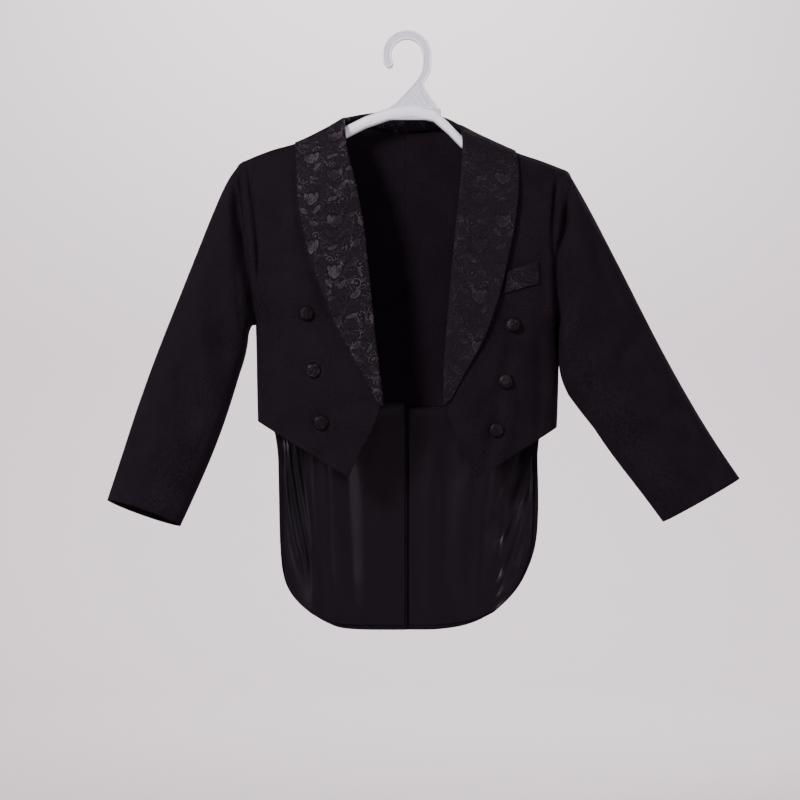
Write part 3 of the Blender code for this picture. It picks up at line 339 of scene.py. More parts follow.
def flat_places(name, points):
    """Where each point lies on the cloth as cut, in millimetres: across and along."""
    x, y, z = (points[:, i] for i in range(3))
    if name.startswith("sleeve"):
        side = -1 if "right" in name else 1
        run, fall = side * SLEEVE_RUN, -SLEEVE_FALL
        from_top, below_top = x - side * SLEEVE_TOP[0], z - SLEEVE_TOP[1]
        across = from_top * -fall + below_top * run
        along = from_top * run + below_top * fall
        angle = np.arctan2(y - middle_depth(points), across - np.median(across))
        return angle * SLEEVE_RADIUS, along
    past = np.abs(x) - SIDE_BEND
    depth = np.abs(y) - SIDE_DEPTH
    across = np.sign(x) * np.where(past > 0, SIDE_BEND + np.hypot(past, depth * (past > 0)),
                                   np.abs(x))
    # the collar turns back over the shoulder's ridge
    ridge = SHOULDER_TOP[1] - SHOULDER_SLOPE * (np.abs(x) - SHOULDER_TOP[0])
    along = np.where(y > 6, 2 * ridge - z + y, z + y)
    if name.startswith(("back", "tail")):
        along = z
    return across, along


# ---- making pieces


def link(name, data):
    """A new object with a mesh, lamp or camera, at the origin."""
    piece = bpy.data.objects.new(name, data)
    bpy.context.scene.collection.objects.link(piece)
    return piece


def select_only(piece):
    """Makes a piece the one that operators act on."""
    for other in list(bpy.context.selected_objects):
        other.select_set(False)
    piece.select_set(True)
    bpy.context.view_layer.objects.active = piece


def apply_modifiers(piece):
    """Applies a piece's modifiers, in order."""
    select_only(piece)
    for modifier in list(piece.modifiers):
        bpy.ops.object.modifier_apply(modifier=modifier.name)


def meet_at_seams(work, sharp, distance):
    """Grows a wall of cloth at its cut edges, so that it meets the next piece at the seam."""
    shift = {}
    for face in work.faces:
        cut = [edge for edge in face.edges if edge in sharp]
        thin = min(edge.calc_length() for edge in face.edges) < CUT_EDGE_WIDTH * MM
        if len(cut) >= 2 and thin:
            for vert in face.verts:
                shift.setdefault(vert, []).append(face.normal.copy())
    for vert, normals in shift.items():
        total = sum(normals, Vector())
        if total.length > 0.2:
            vert.co += total.normalized() * distance * MM


def copied_solid(name, node, closing=0.0):
    """A copy of a solid with its doubles merged and its triangles paired into quads."""
    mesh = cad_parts[node].data.copy()
    mesh.name = name
    mesh.materials.clear()
    piece = link(name, mesh)
    work = bmesh.new()
    work.from_mesh(mesh)
    bmesh.ops.remove_doubles(work, verts=work.verts, dist=MERGE * MM)
    bmesh.ops.recalc_face_normals(work, faces=work.faces)
    bmesh.ops.join_triangles(work, faces=work.faces, angle_face_threshold=math.radians(PAIR_ANGLE),
                             angle_shape_threshold=math.radians(PAIR_SKEW))
    crease = work.edges.layers.float.new("crease_edge")
    sharp = [edge for edge in work.edges if len(edge.link_faces) == 2
             and edge.calc_face_angle() > math.radians(EDGE_ANGLE)]
    for edge in sharp:
        edge[crease] = 1.0
    if closing:
        meet_at_seams(work, set(sharp), closing)
    work.to_mesh(mesh)
    work.free()
    return piece


def mesh_points(mesh):
    """A mesh's points in millimetres."""
    points = np.empty(len(mesh.vertices) * 3)
    mesh.vertices.foreach_get("co", points)
    return points.reshape(-1, 3) / MM


def set_mesh_points(mesh, points):
    """Puts a mesh's points back, in metres."""
    mesh.vertices.foreach_set("co", (points * MM).ravel())
    mesh.update()


def add_flat_map(name, mesh, points):
    """A UV map that follows the cloth, one unit to a metre."""
    across, along = flat_places(name, points)
    corners = np.empty(len(mesh.loops), int)
    mesh.loops.foreach_get("vertex_index", corners)
    layer = mesh.uv_layers.new(name="Cloth")
    places = np.stack([across[corners], along[corners]], axis=1) * MM
    layer.data.foreach_set("uv", places.ravel())


def subdivide(piece, levels):
    """Divides a piece's faces and smooths it."""
    smooth = piece.modifiers.new("Smooth", "SUBSURF")
    smooth.levels = smooth.render_levels = levels
    apply_modifiers(piece)


def round_edges(piece):
    """Rounds a piece of cloth's turned edges."""
    bevel = piece.modifiers.new("Turned edge", "BEVEL")
    bevel.width = EDGE_ROUND * MM
    bevel.segments = 2
    bevel.limit_method = "ANGLE"
    bevel.angle_limit = math.radians(EDGE_ANGLE)
    apply_modifiers(piece)


def cloth_piece(node):
    """A solid's piece of cloth: smooth, with its folds and its turned edges."""
    piece = copied_solid(node + "_cloth", node, SEAM_CLOSING)
    subdivide(piece, CLOTH_LEVELS - (0))
    mesh = piece.data
    points = mesh_points(mesh)
    strength = bpy.context.scene.tailcoat_cloth.fold_strength
    if node.startswith("collar"):
        points = lifted_lapel(points)
    points = shifted_by_folds(points, strength)
    if node.startswith("sleeve_left"):
        points = laid_against_side(points)
    if node.startswith("tail_lining"):
        slack = fold_height(SATIN_FOLDS, points[:, 0], points[:, 2])
        edge = soft_step(-points[:, 2], SATIN_START, SATIN_FULL)
        points[:, 1] -= slack * edge * strength
    if node.startswith("breast_welt"):
        points[:, 1] -= WELT_LIFT
    set_mesh_points(mesh, points)
    add_flat_map(node, mesh, points)
    round_edges(piece)
    mesh.shade_smooth()
    mesh.set_sharp_from_angle(angle=math.radians(SHARP_ANGLE))
    return piece


def dress(piece, material, node):
    """Gives a piece its material and puts it in a solid's place."""
    piece.data.materials.clear()
    piece.data.materials.append(material)
    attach(piece, BODY)
    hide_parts(node)


# ---- node helpers


class Sums:
    """Adds math nodes to a node tree, one call each."""

    def __init__(self, tree):
        self.tree = tree

    def node(self, kind, **settings):
        made = self.tree.nodes.new(kind)
        for key, value in settings.items():
            setattr(made, key, value)
        return made

    def feed(self, socket, value):
        if isinstance(value, bpy.types.NodeSocket):
            self.tree.links.new(value, socket)
        else:
            socket.default_value = value

    def math(self, operation, *values):
        made = self.node("ShaderNodeMath", operation=operation)
        for socket, value in zip(made.inputs, values):
            self.feed(socket, value)
        return made.outputs[0]

    def plus(self, first, second):
        return self.math("ADD", first, second)

    def minus(self, first, second):
        return self.math("SUBTRACT", first, second)

    def times(self, first, second):
        return self.math("MULTIPLY", first, second)

    def size(self, value):
        """How far a value is from 0."""
        return self.math("ABSOLUTE", value)

    def ramp(self, value, low, high, out_low=0.0, out_high=1.0):
        """Smooth ramp from out_low at low to out_high at high."""
        made = self.node("ShaderNodeMapRange", interpolation_type="SMOOTHSTEP")
        for socket, number in zip(made.inputs, (value, low, high, out_low, out_high)):
            self.feed(socket, number)
        return made.outputs[0]

    def noise(self, vector, scale, detail=2.0, rough=0.5):
        made = self.node("ShaderNodeTexNoise")
        self.feed(made.inputs["Vector"], vector)
        made.inputs["Scale"].default_value = scale
        made.inputs["Detail"].default_value = detail
        made.inputs["Roughness"].default_value = rough
        return made.outputs[0]

    def mix(self, share, first, second):
        """Colour between two colours."""
        made = self.node("ShaderNodeMix", data_type="RGBA")
        self.feed(made.inputs["Factor"], share)
        for key, value in (("A", first), ("B", second)):
            sockets = [s for s in made.inputs if s.name == key and s.type == "RGBA"]
            self.feed(sockets[0], value)
        return [s for s in made.outputs if s.type == "RGBA"][0]


def new_group(name, inputs, outputs):
    """An empty node group with named sockets, and the helper that fills it."""
    group = bpy.data.node_groups.new(name, "ShaderNodeTree")
    for label, kind in inputs:
        group.interface.new_socket(label, in_out="INPUT", socket_type=kind)
    for label, kind in outputs:
        group.interface.new_socket(label, in_out="OUTPUT", socket_type=kind)
    start = group.nodes.new("NodeGroupInput")
    end = group.nodes.new("NodeGroupOutput")
    return group, Sums(group), start, end


VECTOR, FLOAT = "NodeSocketVector", "NodeSocketFloat"

# ---- the weaves

TWILL_PITCH = 0.00075       # metres from one diagonal to the next
TWILL_LINE, TWILL_THREAD = 0.34, 0.14       # how high diagonals and threads stand


def twill_group():
    """A fine twill's height, from the cloth's own map in metres."""
    group, s, start, end = new_group("Fine twill", (("Map", VECTOR),), (("Height", FLOAT),))
    split = s.node("ShaderNodeSeparateXYZ")
    s.feed(split.inputs[0], start.outputs["Map"])
    across = s.math("DIVIDE", split.outputs[0], TWILL_PITCH)
    along = s.math("DIVIDE", split.outputs[1], TWILL_PITCH)
    line = s.math("SINE", s.times(s.plus(across, along), math.tau))
    thread = s.math("SINE", s.times(across, math.tau * 1.5))
    height = s.plus(s.times(line, TWILL_LINE), s.times(thread, TWILL_THREAD))
    s.feed(end.inputs["Height"], s.plus(height, 0.5))
    return group


# columns: across, along, radius across, radius along, turn in degrees
PETALS = ((10.5, 31.0, 3.4, 6.6, 0), (7.4, 31.4, 2.8, 6.4, 24), (13.6, 31.4, 2.8, 6.4, -24))
BUD = ((30.5, 11.0, 2.6, 4.6, -34), (28.6, 10.2, 1.9, 4.2, -62))
# columns: across, along, half length, half width, turn in degrees
LEAVES = ((17.6, 19.6, 5.6, 1.9, 52), (5.2, 20.6, 5.4, 1.8, 128), (25.4, 37.4, 5.6, 1.9, 18),
          (33.6, 30.4, 5.0, 1.7, 116), (8.6, 7.2, 5.2, 1.8, 20), (24.6, 22.6, 4.4, 1.6, -28))
# columns: across, along, radius, turn of its open side in degrees
CURLS = ((30.2, 20.4, 4.2, 200), (33.4, 38.0, 3.2, 40), (17.8, 6.2, 3.9, 120),
         (6.2, 41.6, 3.0, 250), (19.8, 40.8, 3.4, 330), (35.2, 24.4, 2.2, 80))
MOTIF_WIDTH, MOTIF_HEIGHT = 38.0, 46.0      # one repeat; the next one mirrors it
MOTIF_SCALE = 1.22
MOTIF_WOBBLE = 4.6          # how far the threads' steps move an outline
VINE_PLACE, VINE_SWING = 21.5, 5.2
VINE_WIDTH = 0.38
OUTLINE_WIDTH = 0.32
VEIN_WIDTH, PETAL_GAP = 0.22, 0.32
CURL_OPEN, CURL_BEAD = 0.35, 0.3        # shares of a curl's radius
TENDRIL_SCALE = 118.0
# columns: level of the tangle that a tendril follows, its width; light ones, then dark ones
TENDRILS = ((0.5, 0.022), (0.545, 0.024))


def floral_group():
    """A flower, leaf and scroll figure that repeats: 1 in the figure, 0 in the ground; it also
    gives masks for the figure's painted highlight and painted shade.
    """
    found = bpy.data.node_groups.get("Floral scroll")
    if found:
        return found
    group, s, start, end = new_group("Floral scroll", (("Map", VECTOR),),
                                     (("Figure", FLOAT), ("Petal", FLOAT), ("Line", FLOAT),
                                      ("Rim", FLOAT)))
    split = s.node("ShaderNodeSeparateXYZ")
    s.feed(split.inputs[0], start.outputs["Map"])
    # the weave's threads step, so the outlines are a little uneven
    wobble = s.noise(start.outputs["Map"], 210.0, 3.0, 0.65)
    sway = s.times(s.minus(wobble, 0.5), MOTIF_WOBBLE)
    unit = 1 / (MM * MOTIF_SCALE)
    across = s.plus(s.times(split.outputs[0], unit), sway)
    along = s.plus(s.times(split.outputs[1], unit), sway)
    column = s.math("FLOOR", s.math("DIVIDE", across, MOTIF_WIDTH))
    u = s.math("PINGPONG", across, MOTIF_WIDTH)
    dropped = s.plus(along, s.times(column, MOTIF_HEIGHT * 0.5))
    v = s.math("FLOORED_MODULO", dropped, MOTIF_HEIGHT)
    join = s.node("ShaderNodeCombineXYZ")
    s.feed(join.inputs[0], u)
    s.feed(join.inputs[1], v)
    place = join.outputs[0]

    def framed(centre, turn, scale):
        mapping = s.node("ShaderNodeMapping", vector_type="TEXTURE")
        s.feed(mapping.inputs["Vector"], place)
        mapping.inputs["Location"].default_value = (*centre, 0)
        mapping.inputs["Rotation"].default_value = (0, 0, math.radians(turn))
        mapping.inputs["Scale"].default_value = (*scale, 1)
        return mapping.outputs[0]

    def length(vector):
        made = s.node("ShaderNodeVectorMath", operation="LENGTH")
        s.feed(made.inputs[0], vector)
        return made.outputs["Value"]

    def ellipse(x, y, rx, ry, turn):
        inside = s.minus(length(framed((x, y), turn, (rx, ry))), 1.0)
        return s.times(inside, min(rx, ry))

    def leaf(x, y, half_length, half_width, turn):
        # two arcs that meet at the leaf's ends
        radius = (half_length ** 2 + half_width ** 2) / (2 * half_width)
        offset = radius - half_width
        sides = []
        for way in (1, -1):
            angle = math.radians(turn)
            centre = (x - way * offset * math.sin(angle), y + way * offset * math.cos(angle))
            from_centre = length(framed(centre, turn, (1, 1)))
            sides.append(s.minus(from_centre, radius))
        body = s.math("MAXIMUM", *sides)
        vein = s.minus(VEIN_WIDTH, s.size(s.minus(*sides)))
        return s.math("MAXIMUM", body, vein)

    def curl(x, y, radius, turn):
        view = framed((x, y), turn, (radius, radius))
        ring = s.size(s.minus(length(view), 1.0))
        ring = s.minus(s.times(ring, radius), VINE_WIDTH)
        parts = s.node("ShaderNodeSeparateXYZ")
        s.feed(parts.inputs[0], view)
        # open on one side, with a bead at the curl's heart
        opened = s.times(s.minus(parts.outputs[0], CURL_OPEN), radius)
        ring = s.math("MAXIMUM", ring, opened)
        bead = s.minus(s.times(length(view), radius), radius * CURL_BEAD)
        return s.math("MINIMUM", ring, bead)

    def union(distances):
        total = distances[0]
        for distance in distances[1:]:
            total = s.math("MINIMUM", total, distance)
        return total

    petals = [ellipse(*row) for row in PETALS]
    flower = union(petals)
    gap = s.minus(PETAL_GAP, s.size(petals[0]))
    flower = s.math("MAXIMUM", flower, gap)
    bud = union([ellipse(*row) for row in BUD])
    # the vine swings from side to side and meets itself in the next repeat
    swing = s.times(s.math("SINE", s.times(v, math.tau / MOTIF_HEIGHT)), VINE_SWING)
    vine = s.size(s.minus(s.minus(u, VINE_PLACE), swing))
    vine = s.minus(vine, VINE_WIDTH)
    drawn = union([flower, bud, vine] + [leaf(*row) for row in LEAVES]
                  + [curl(*row) for row in CURLS])
    # small tendrils fill the ground between the flowers, with a painted highlight on one side and
    # painted shade on the other
    tangle = s.noise(start.outputs["Map"], TENDRIL_SCALE, 2.0, 0.45)
    clear = s.ramp(drawn, 0.5, 1.3)
    tendrils = []
    for level, width in TENDRILS:
        away = s.size(s.minus(tangle, level))
        tendrils.append(s.times(s.ramp(away, width, width * 0.3), clear))
    # the figure's outlines and the light tendrils carry a painted highlight; a groove round the
    # figure and the dark tendrils carry painted shade
    outline = s.size(s.plus(drawn, OUTLINE_WIDTH))
    outline = s.ramp(outline, OUTLINE_WIDTH * 1.3, OUTLINE_WIDTH * 0.4)
    rim = s.ramp(s.size(s.minus(drawn, OUTLINE_WIDTH * 1.6)),
                 OUTLINE_WIDTH * 1.5, OUTLINE_WIDTH * 0.4)
    s.feed(end.inputs["Figure"], s.ramp(drawn, 0.3, -0.3))
    s.feed(end.inputs["Petal"], s.ramp(union([flower, bud]), 0.4, -0.4))
    s.feed(end.inputs["Line"], s.math("MAXIMUM", outline, s.times(tendrils[0], 0.6)))
    s.feed(end.inputs["Rim"], s.math("MAXIMUM", rim, tendrils[1]))
    return group


# ---- materials


def new_material(name, colour, roughness, specular):
    """A material, the helper for its nodes, and its Principled shader."""
    made = bpy.data.materials.new(name)
    made.use_nodes = True
    shader = made.node_tree.nodes["Principled BSDF"]
    shader.inputs["Base Color"].default_value = (*colour, 1)
    shader.inputs["Roughness"].default_value = roughness
    shader.inputs["Specular IOR Level"].default_value = specular
    return made, Sums(made.node_tree), shader


def group_node(s, group, vector):
    """A group's node, fed with the cloth's map."""
    made = s.node("ShaderNodeGroup", node_tree=group)
    s.feed(made.inputs[0], vector)
    return made


def bump(s, shader, height, strength, distance, after=None):
    """Adds a bump, on top of an earlier one if given."""
    made = s.node("ShaderNodeBump")
    made.inputs["Strength"].default_value = strength
    made.inputs["Distance"].default_value = distance
    s.feed(made.inputs["Height"], height)
    if after is not None:
        s.feed(made.inputs["Normal"], after)
    s.feed(shader.inputs["Normal"], made.outputs[0])
    return made.outputs[0]


def cloth_map(s):
    """The cloth's own map, in metres."""
    return s.node("ShaderNodeUVMap", uv_map="Cloth").outputs[0]


def chosen_colour(name):
    """A colour from the coat's settings."""
    return tuple(getattr(bpy.context.scene.tailcoat_colours, name))


def shade(colour, share):
    """A colour made lighter or darker."""
    return tuple(min(1.0, channel * share) for channel in colour)


def suiting_material():
    """Matt black suiting: fine twill, faint fuzz and slow unevenness."""
    colour = chosen_colour("suiting")
    made, s, shader = new_material("suiting", colour, 0.86, 0.02)
    shader.inputs["Sheen Weight"].default_value = 0.006
    shader.inputs["Sheen Roughness"].default_value = 0.5
    shader.inputs["Sheen Tint"].default_value = (0.8, 0.7, 0.85, 1)
    here = cloth_map(s)
    slow = s.noise(here, 26.0, 3.0, 0.55)
    fuzz = s.noise(here, 560.0, 2.0, 0.7)
    tone = s.plus(s.times(slow, 0.25), s.times(fuzz, 0.75))
    tint = s.mix(s.ramp(tone, 0.38, 0.62), (*shade(colour, 0.66), 1), (*shade(colour, 1.36), 1))
    s.feed(shader.inputs["Base Color"], tint)
    s.feed(shader.inputs["Roughness"], s.ramp(slow, 0.3, 0.7, 0.76, 0.88))
    twill = group_node(s, twill_group(), here).outputs["Height"]
    first = bump(s, shader, twill, 0.35, 0.00010)
    bump(s, shader, fuzz, 0.25, 0.00012, first)
    return made


def satin_material():
    """Black satin lining: smooth, with fine threads that draw the light out sideways."""
    colour = chosen_colour("satin")
    made, s, shader = new_material("satin", colour, 0.3, 0.15)
    shader.inputs["Anisotropic"].default_value = 0.35
    shader.inputs["Specular Tint"].default_value = (0.95, 0.82, 1.0, 1)
    here = cloth_map(s)
    threads = s.node("ShaderNodeMapping")
    s.feed(threads.inputs["Vector"], here)
    threads.inputs["Scale"].default_value = (2400, 160, 1)
    fine = s.noise(threads.outputs[0], 1.0, 2.0)
    slow = s.noise(here, 30.0, 2.0)
    tint = s.mix(slow, (*shade(colour, 0.8), 1), (*shade(colour, 1.25), 1))
    s.feed(shader.inputs["Base Color"], tint)
    s.feed(shader.inputs["Roughness"], s.ramp(fine, 0.25, 0.75, 0.31, 0.36))
    crumple = s.noise(here, 95.0, 2.0, 0.5)
    bump(s, shader, crumple, 0.2, 0.0012)
    return made


def jacquard_material(look):
    """Black jacquard: a satin figure of flowers and scrolls on a matt ground. The figure is
    painted lighter than the ground, partly pattern and partly painted sheen; the bright look is a
    lit copy, and the other looks have the figure painted darker, as shaded copies.
    """
    bright, tight = look.endswith("bright"), look.endswith("tight")
    ground = shade(chosen_colour("jacquard_ground"), 0.5 if tight else 1.0)
    figure = chosen_colour("jacquard_figure_painted_sheen")
    made, s, shader = new_material(look, ground, 0.6, 0.07 if tight else 0.04)
    here = cloth_map(s)
    flowers = group_node(s, floral_group(), here)
    drawn, petal, line, rim = (flowers.outputs[n] for n in ("Figure", "Petal", "Line", "Rim"))
    # painted highlight: the figure is painted lighter in patches, where it would catch the light,
    # and sinks into the ground in others
    painted_highlight_patches = s.ramp(s.noise(here, 34.0, 2.0, 0.6), 0.42, 0.60, 0.12, 1.0)
    threads = s.node("ShaderNodeMapping")
    s.feed(threads.inputs["Vector"], here)
    threads.inputs["Scale"].default_value = (900, 320, 1)
    broken = s.ramp(s.noise(threads.outputs[0], 1.0, 2.0, 0.6), 0.34, 0.62, 0.25, 1.0)
    fill = s.times(drawn, s.plus(0.12, s.times(petal, 0.5)))
    fill = s.times(fill, s.times(broken, painted_highlight_patches))
    stroke = s.times(line, s.plus(0.1, s.times(painted_highlight_patches, 0.9)))
    stroke = s.times(stroke, s.plus(0.4, s.times(broken, 0.6)))
    # painted shade: in every look but the painted lit copy the figure is painted darker, as if
    # turned from the light
    if not bright:
        fill = s.times(fill, 0.35)
    lit = s.times(s.math("MAXIMUM", fill, stroke), 1.0 if bright else 0.38)
    grain = s.noise(here, 700.0, 2.0, 0.7)
    base = s.mix(s.ramp(grain, 0.36, 0.64), (*shade(ground, 0.6), 1), (*shade(ground, 1.45), 1))
    # painted shade: the ground is painted darker in the groove round the figure and along the dark
    # tendrils
    painted_groove_shade = s.times(rim, 0.6 if bright else 0.4)
    base = s.mix(painted_groove_shade, base, (*shade(ground, 0.3), 1))
    # the figure's colour is mixed in over the ground: partly the woven pattern, partly painted
    # sheen
    s.feed(shader.inputs["Base Color"], s.mix(lit, base, (*figure, 1)))
    dull = 0.4 if tight else 0.74
    s.feed(shader.inputs["Roughness"], s.ramp(lit, 0.0, 1.0, dull, 0.42))
    raised = s.plus(s.times(drawn, 0.6), s.times(line, 0.5))
    raised = s.minus(raised, s.times(rim, 0.4))
    first = bump(s, shader, raised, 0.6, 0.0007)
    bump(s, shader, grain, 0.3, 0.00015, first)
    return made


def plastic_material():
    """White moulded plastic, a little translucent, with faint marks where the plastic flowed, and
    painted shade: its recessed walls painted darker than its raised rims.
    """
    colour = chosen_colour("plastic")
    made, s, shader = new_material("moulded plastic", colour, 0.3, 0.5)
    shader.inputs["Subsurface Weight"].default_value = 0.25
    shader.inputs["Subsurface Radius"].default_value = (0.002, 0.002, 0.0025)
    here = s.node("ShaderNodeTexCoord").outputs["Object"]
    flow_marks_and_painted_shade = s.noise(here, 60.0, 3.0)
    parts = s.node("ShaderNodeSeparateXYZ")
    s.feed(parts.inputs[0], here)
    # painted shade: the recessed walls between the raised rims are painted darker, and the rims
    # lighter
    raised = s.ramp(s.size(parts.outputs[1]), 0.00346, 0.0038)
    flow_marks_and_painted_shade = s.plus(s.times(flow_marks_and_painted_shade, 0.3), s.times(raised, 0.7))
    tint = s.mix(flow_marks_and_painted_shade, (*shade(colour, 0.72), 1), (*shade(colour, 1.12), 1))
    s.feed(shader.inputs["Base Color"], tint)
    s.feed(shader.inputs["Roughness"], s.ramp(flow_marks_and_painted_shade, 0.3, 0.7, 0.24, 0.4))
    bump(s, shader, s.noise(here, 900.0, 2.0), 0.08, 0.0002)
    return made


def plain_material(name, colour, roughness):
    """A plain, dull material."""
    return new_material(name, colour, roughness, 0.2)[0]


def cloth_material(look):
    """The material of a look, made the first time that it is asked for."""
    found = bpy.data.materials.get(look)
    if found:
        return found
    if look == "suiting":
        return suiting_material()
    if look == "satin":
        return satin_material()
    return jacquard_material(look)


def dress_in_cloth(piece, look, node):
    """Gives a piece the material and slot of its look, whose first word is the cloth."""
    dress(piece, cloth_material(look), node)


def make_cloth(part):
    for node, look, width, length, area, held_by in CLOTH_PIECES[part]:
        piece = cloth_piece(node)
        dress_in_cloth(piece, look, node)


# ---- buttons and hanger

BUTTON_LEVELS = 2
BUTTON_PLEATS = 13
BUTTON_PLEAT_DEPTH = 0.16
BUTTON_SHOULDER = 2.5       # the higher, the flatter the dome's top
BUTTON_RISE = 0.5
BUTTON_RIM = 0.97           # share of the radius where the rim starts
BUTTON_PLEATED = (0.62, 0.98)       # shares between which the pleats deepen


def covered_button(node, look):
    """A dome with cloth drawn over it, pleated where it turns under the rim."""
    piece = copied_solid(node + "_covered", node)
    subdivide(piece, BUTTON_LEVELS)
    points = mesh_points(piece.data)
    low, high = points.min(axis=0), points.max(axis=0)
    middle = (low + high) / 2
    away = points - middle
    radius = np.hypot(away[:, 0], away[:, 2])
    rim = radius.max()
    turn = np.arctan2(away[:, 2], away[:, 0])
    share = np.clip(radius / rim, 0, 1)
    # a flat top with round shoulders
    edge_y = points[share > BUTTON_RIM, 1].min()
    rise = (1 - share ** BUTTON_SHOULDER) ** BUTTON_RISE
    domed = edge_y - (edge_y - low[1]) * rise
    points[:, 1] = np.where(points[:, 1] < edge_y, domed, points[:, 1])
    pleat = np.cos(turn * BUTTON_PLEATS) * soft_step(share, *BUTTON_PLEATED)
    points[:, 0] -= away[:, 0] / rim * pleat * BUTTON_PLEAT_DEPTH
    points[:, 2] -= away[:, 2] / rim * pleat * BUTTON_PLEAT_DEPTH
    # it moves as one with the cloth under it
    centre = middle[None, :]
    points += shifted_by_folds(centre, bpy.context.scene.tailcoat_cloth.fold_strength) - centre
    set_mesh_points(piece.data, points)
    add_flat_map(node, piece.data, points)
    piece.data.shade_smooth()
    dress_in_cloth(piece, look, node)


# the hook's band and web stand between raised rims; x and z of their middle lines
HOOK_CENTRE_Z = -17.5
HOOK_INNER, HOOK_OUTER = 18.4, 26.2
HOOK_TIP = 204.0            # degrees round the bend to its end
HOOK_FACE = 3.5             # from the middle to the front or back face
ARC_STEPS, END_STEPS, LOOP_STEPS = 26, 8, 12
HANGER_SHARP = 36.0         # an edge that turns more is shaded sharp
RIM_RADIUS, RIB_RADIUS = 1.05, 0.6
NECK_LEFT = ((18.2, -28), (17.5, -35.5), (12.8, -44.6), (5.2, -53.6), (-1.4, -60.8),
             (-11.6, -71.4), (-20.0, -77.6))
NECK_RIGHT = ((26.2, -28), (25.7, -34.6), (21.6, -42.0), (17.8, -48.0), (18.6, -53.6),
              (23.8, -62.0), (32.6, -75.0), (34.6, -78.0))
WEB_RIBS = (((15.8, -56), (10.4, -65), (4.8, -74.5)), ((17.6, -58.4), (30.0, -77.0)),
            ((13.6, -61.6), (23.6, -77.0)), ((10.4, -67.0), (17.4, -76.6)),
            ((-9.2, -75.4), (10.0, -75.2), (28.4, -77.6)))
WEB_LOOP = (27.4, -74.6, 1.9)


def arc_line(radius, low, high):
    """Points of an arc of the hook, from one turn to another in degrees."""
    turns = [math.radians(low + (high - low) * i / ARC_STEPS) for i in range(ARC_STEPS + 1)]
    return [(radius * math.cos(turn), HOOK_CENTRE_Z + radius * math.sin(turn))
            for turn in turns]


def raised_line(corners, radius, face):
    """A round rib that follows a line on the front or back face of the hook."""
    bpy.ops.object.select_all(action="DESELECT")
    bpy.ops.curve.primitive_nurbs_path_add(location=(0, 0, 0))
    rib = bpy.context.object
    rib.data.splines.clear()
    spline = rib.data.splines.new("POLY")
    spline.points.add(len(corners) - 1)
    for point, (x, z) in zip(spline.points, corners):
        point.co = (x * MM, face * HOOK_FACE * MM, z * MM, 1)
    rib.data.bevel_depth = radius * MM
    rib.data.bevel_resolution = 2
    rib.data.use_fill_caps = True
    bpy.ops.object.convert(target="MESH")
    return bpy.context.object


def moulded_hanger():
    """The hanger in moulded plastic, with raised rims and ribs on hook and web."""
    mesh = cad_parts["hanger"].data.copy()
    mesh.materials.clear()
    piece = link("hanger_moulded", mesh)
    work = bmesh.new()
    work.from_mesh(mesh)
    bmesh.ops.remove_doubles(work, verts=work.verts, dist=MERGE * MM)
    work.to_mesh(mesh)
    work.free()
    mesh.shade_smooth()
    mesh.set_sharp_from_angle(angle=math.radians(HANGER_SHARP))
    tip = math.radians(HOOK_TIP)
    middle = (HOOK_INNER + HOOK_OUTER) / 2
    reach = (HOOK_OUTER - HOOK_INNER) / 2
    turns = [tip + math.pi * i / END_STEPS for i in range(1, END_STEPS)]
    end = [(middle * math.cos(tip) + reach * math.cos(turn),
            HOOK_CENTRE_Z + middle * math.sin(tip) + reach * math.sin(turn)) for turn in turns]
    rim = (list(reversed(NECK_RIGHT)) + arc_line(HOOK_OUTER, 0, HOOK_TIP) + end
           + arc_line(HOOK_INNER, HOOK_TIP, 0) + list(NECK_LEFT))
    x, z, radius = WEB_LOOP
    turns = [math.tau * i / LOOP_STEPS for i in range(LOOP_STEPS + 1)]
    loop = [(x + radius * math.cos(turn), z + radius * math.sin(turn)) for turn in turns]
    ribs = []
    for face in (-1, 1):
        ribs.append(raised_line(rim, RIM_RADIUS, face))
        for line in WEB_RIBS + (loop,):
            ribs.append(raised_line(line, RIB_RADIUS, face))
    select_only(piece)
    for rib in ribs:
        rib.data.shade_smooth()
        rib.select_set(True)
    bpy.ops.object.join()
    dress(piece, plastic_material(), "hanger")


# ---- settings


class TailcoatCloth(bpy.types.PropertyGroup):
    """How the cloth lies."""

    fold_strength: bpy.props.FloatProperty(
        name="Fold strength", description="Height of the folds, as a share of the natural one",
        default=1.0, min=0.0, max=2.0, subtype="FACTOR")


def colour_setting(name, of_what, default):
    """A setting for a colour."""
    return bpy.props.FloatVectorProperty(name=name, description="Colour of " + of_what,
                                         subtype="COLOR", default=default, min=0, max=1)


class TailcoatColours(bpy.types.PropertyGroup):
    """The coat's colours."""

    suiting: colour_setting("Suiting", "the black suiting", (0.0070, 0.0047, 0.0075))
    satin: colour_setting("Satin", "the tails' satin", (0.0022, 0.0015, 0.0024))
    jacquard_ground: colour_setting("Jacquard ground", "the facing's ground",
                                    (0.0078, 0.0055, 0.0083))
    # the figure's colour stands lighter than the ground as painted sheen on a black figure
    jacquard_figure_painted_sheen: colour_setting("Jacquard figure", "the facing's flowers",
                                    (0.0620, 0.0520, 0.0640))
    plastic: colour_setting("Hanger", "the moulded plastic", (0.74, 0.73, 0.82))


class TailcoatStage(bpy.types.PropertyGroup):
    """The floor, lights and camera."""

    floor_height: bpy.props.FloatProperty(
        name="Floor", description="Height of the floor under the hook", default=-1.05,
        unit="LENGTH")
    distance: bpy.props.FloatProperty(
        name="Distance", description="From the camera to the coat's front", default=2.4,
        unit="LENGTH")
    view_width: bpy.props.FloatProperty(
        name="View width", description="Width of the picture at the coat's front", default=0.88,
        unit="LENGTH")
    key_power: bpy.props.FloatProperty(
        name="Key light", description="Power of the main light", default=118.0, unit="POWER")


# ---- stage

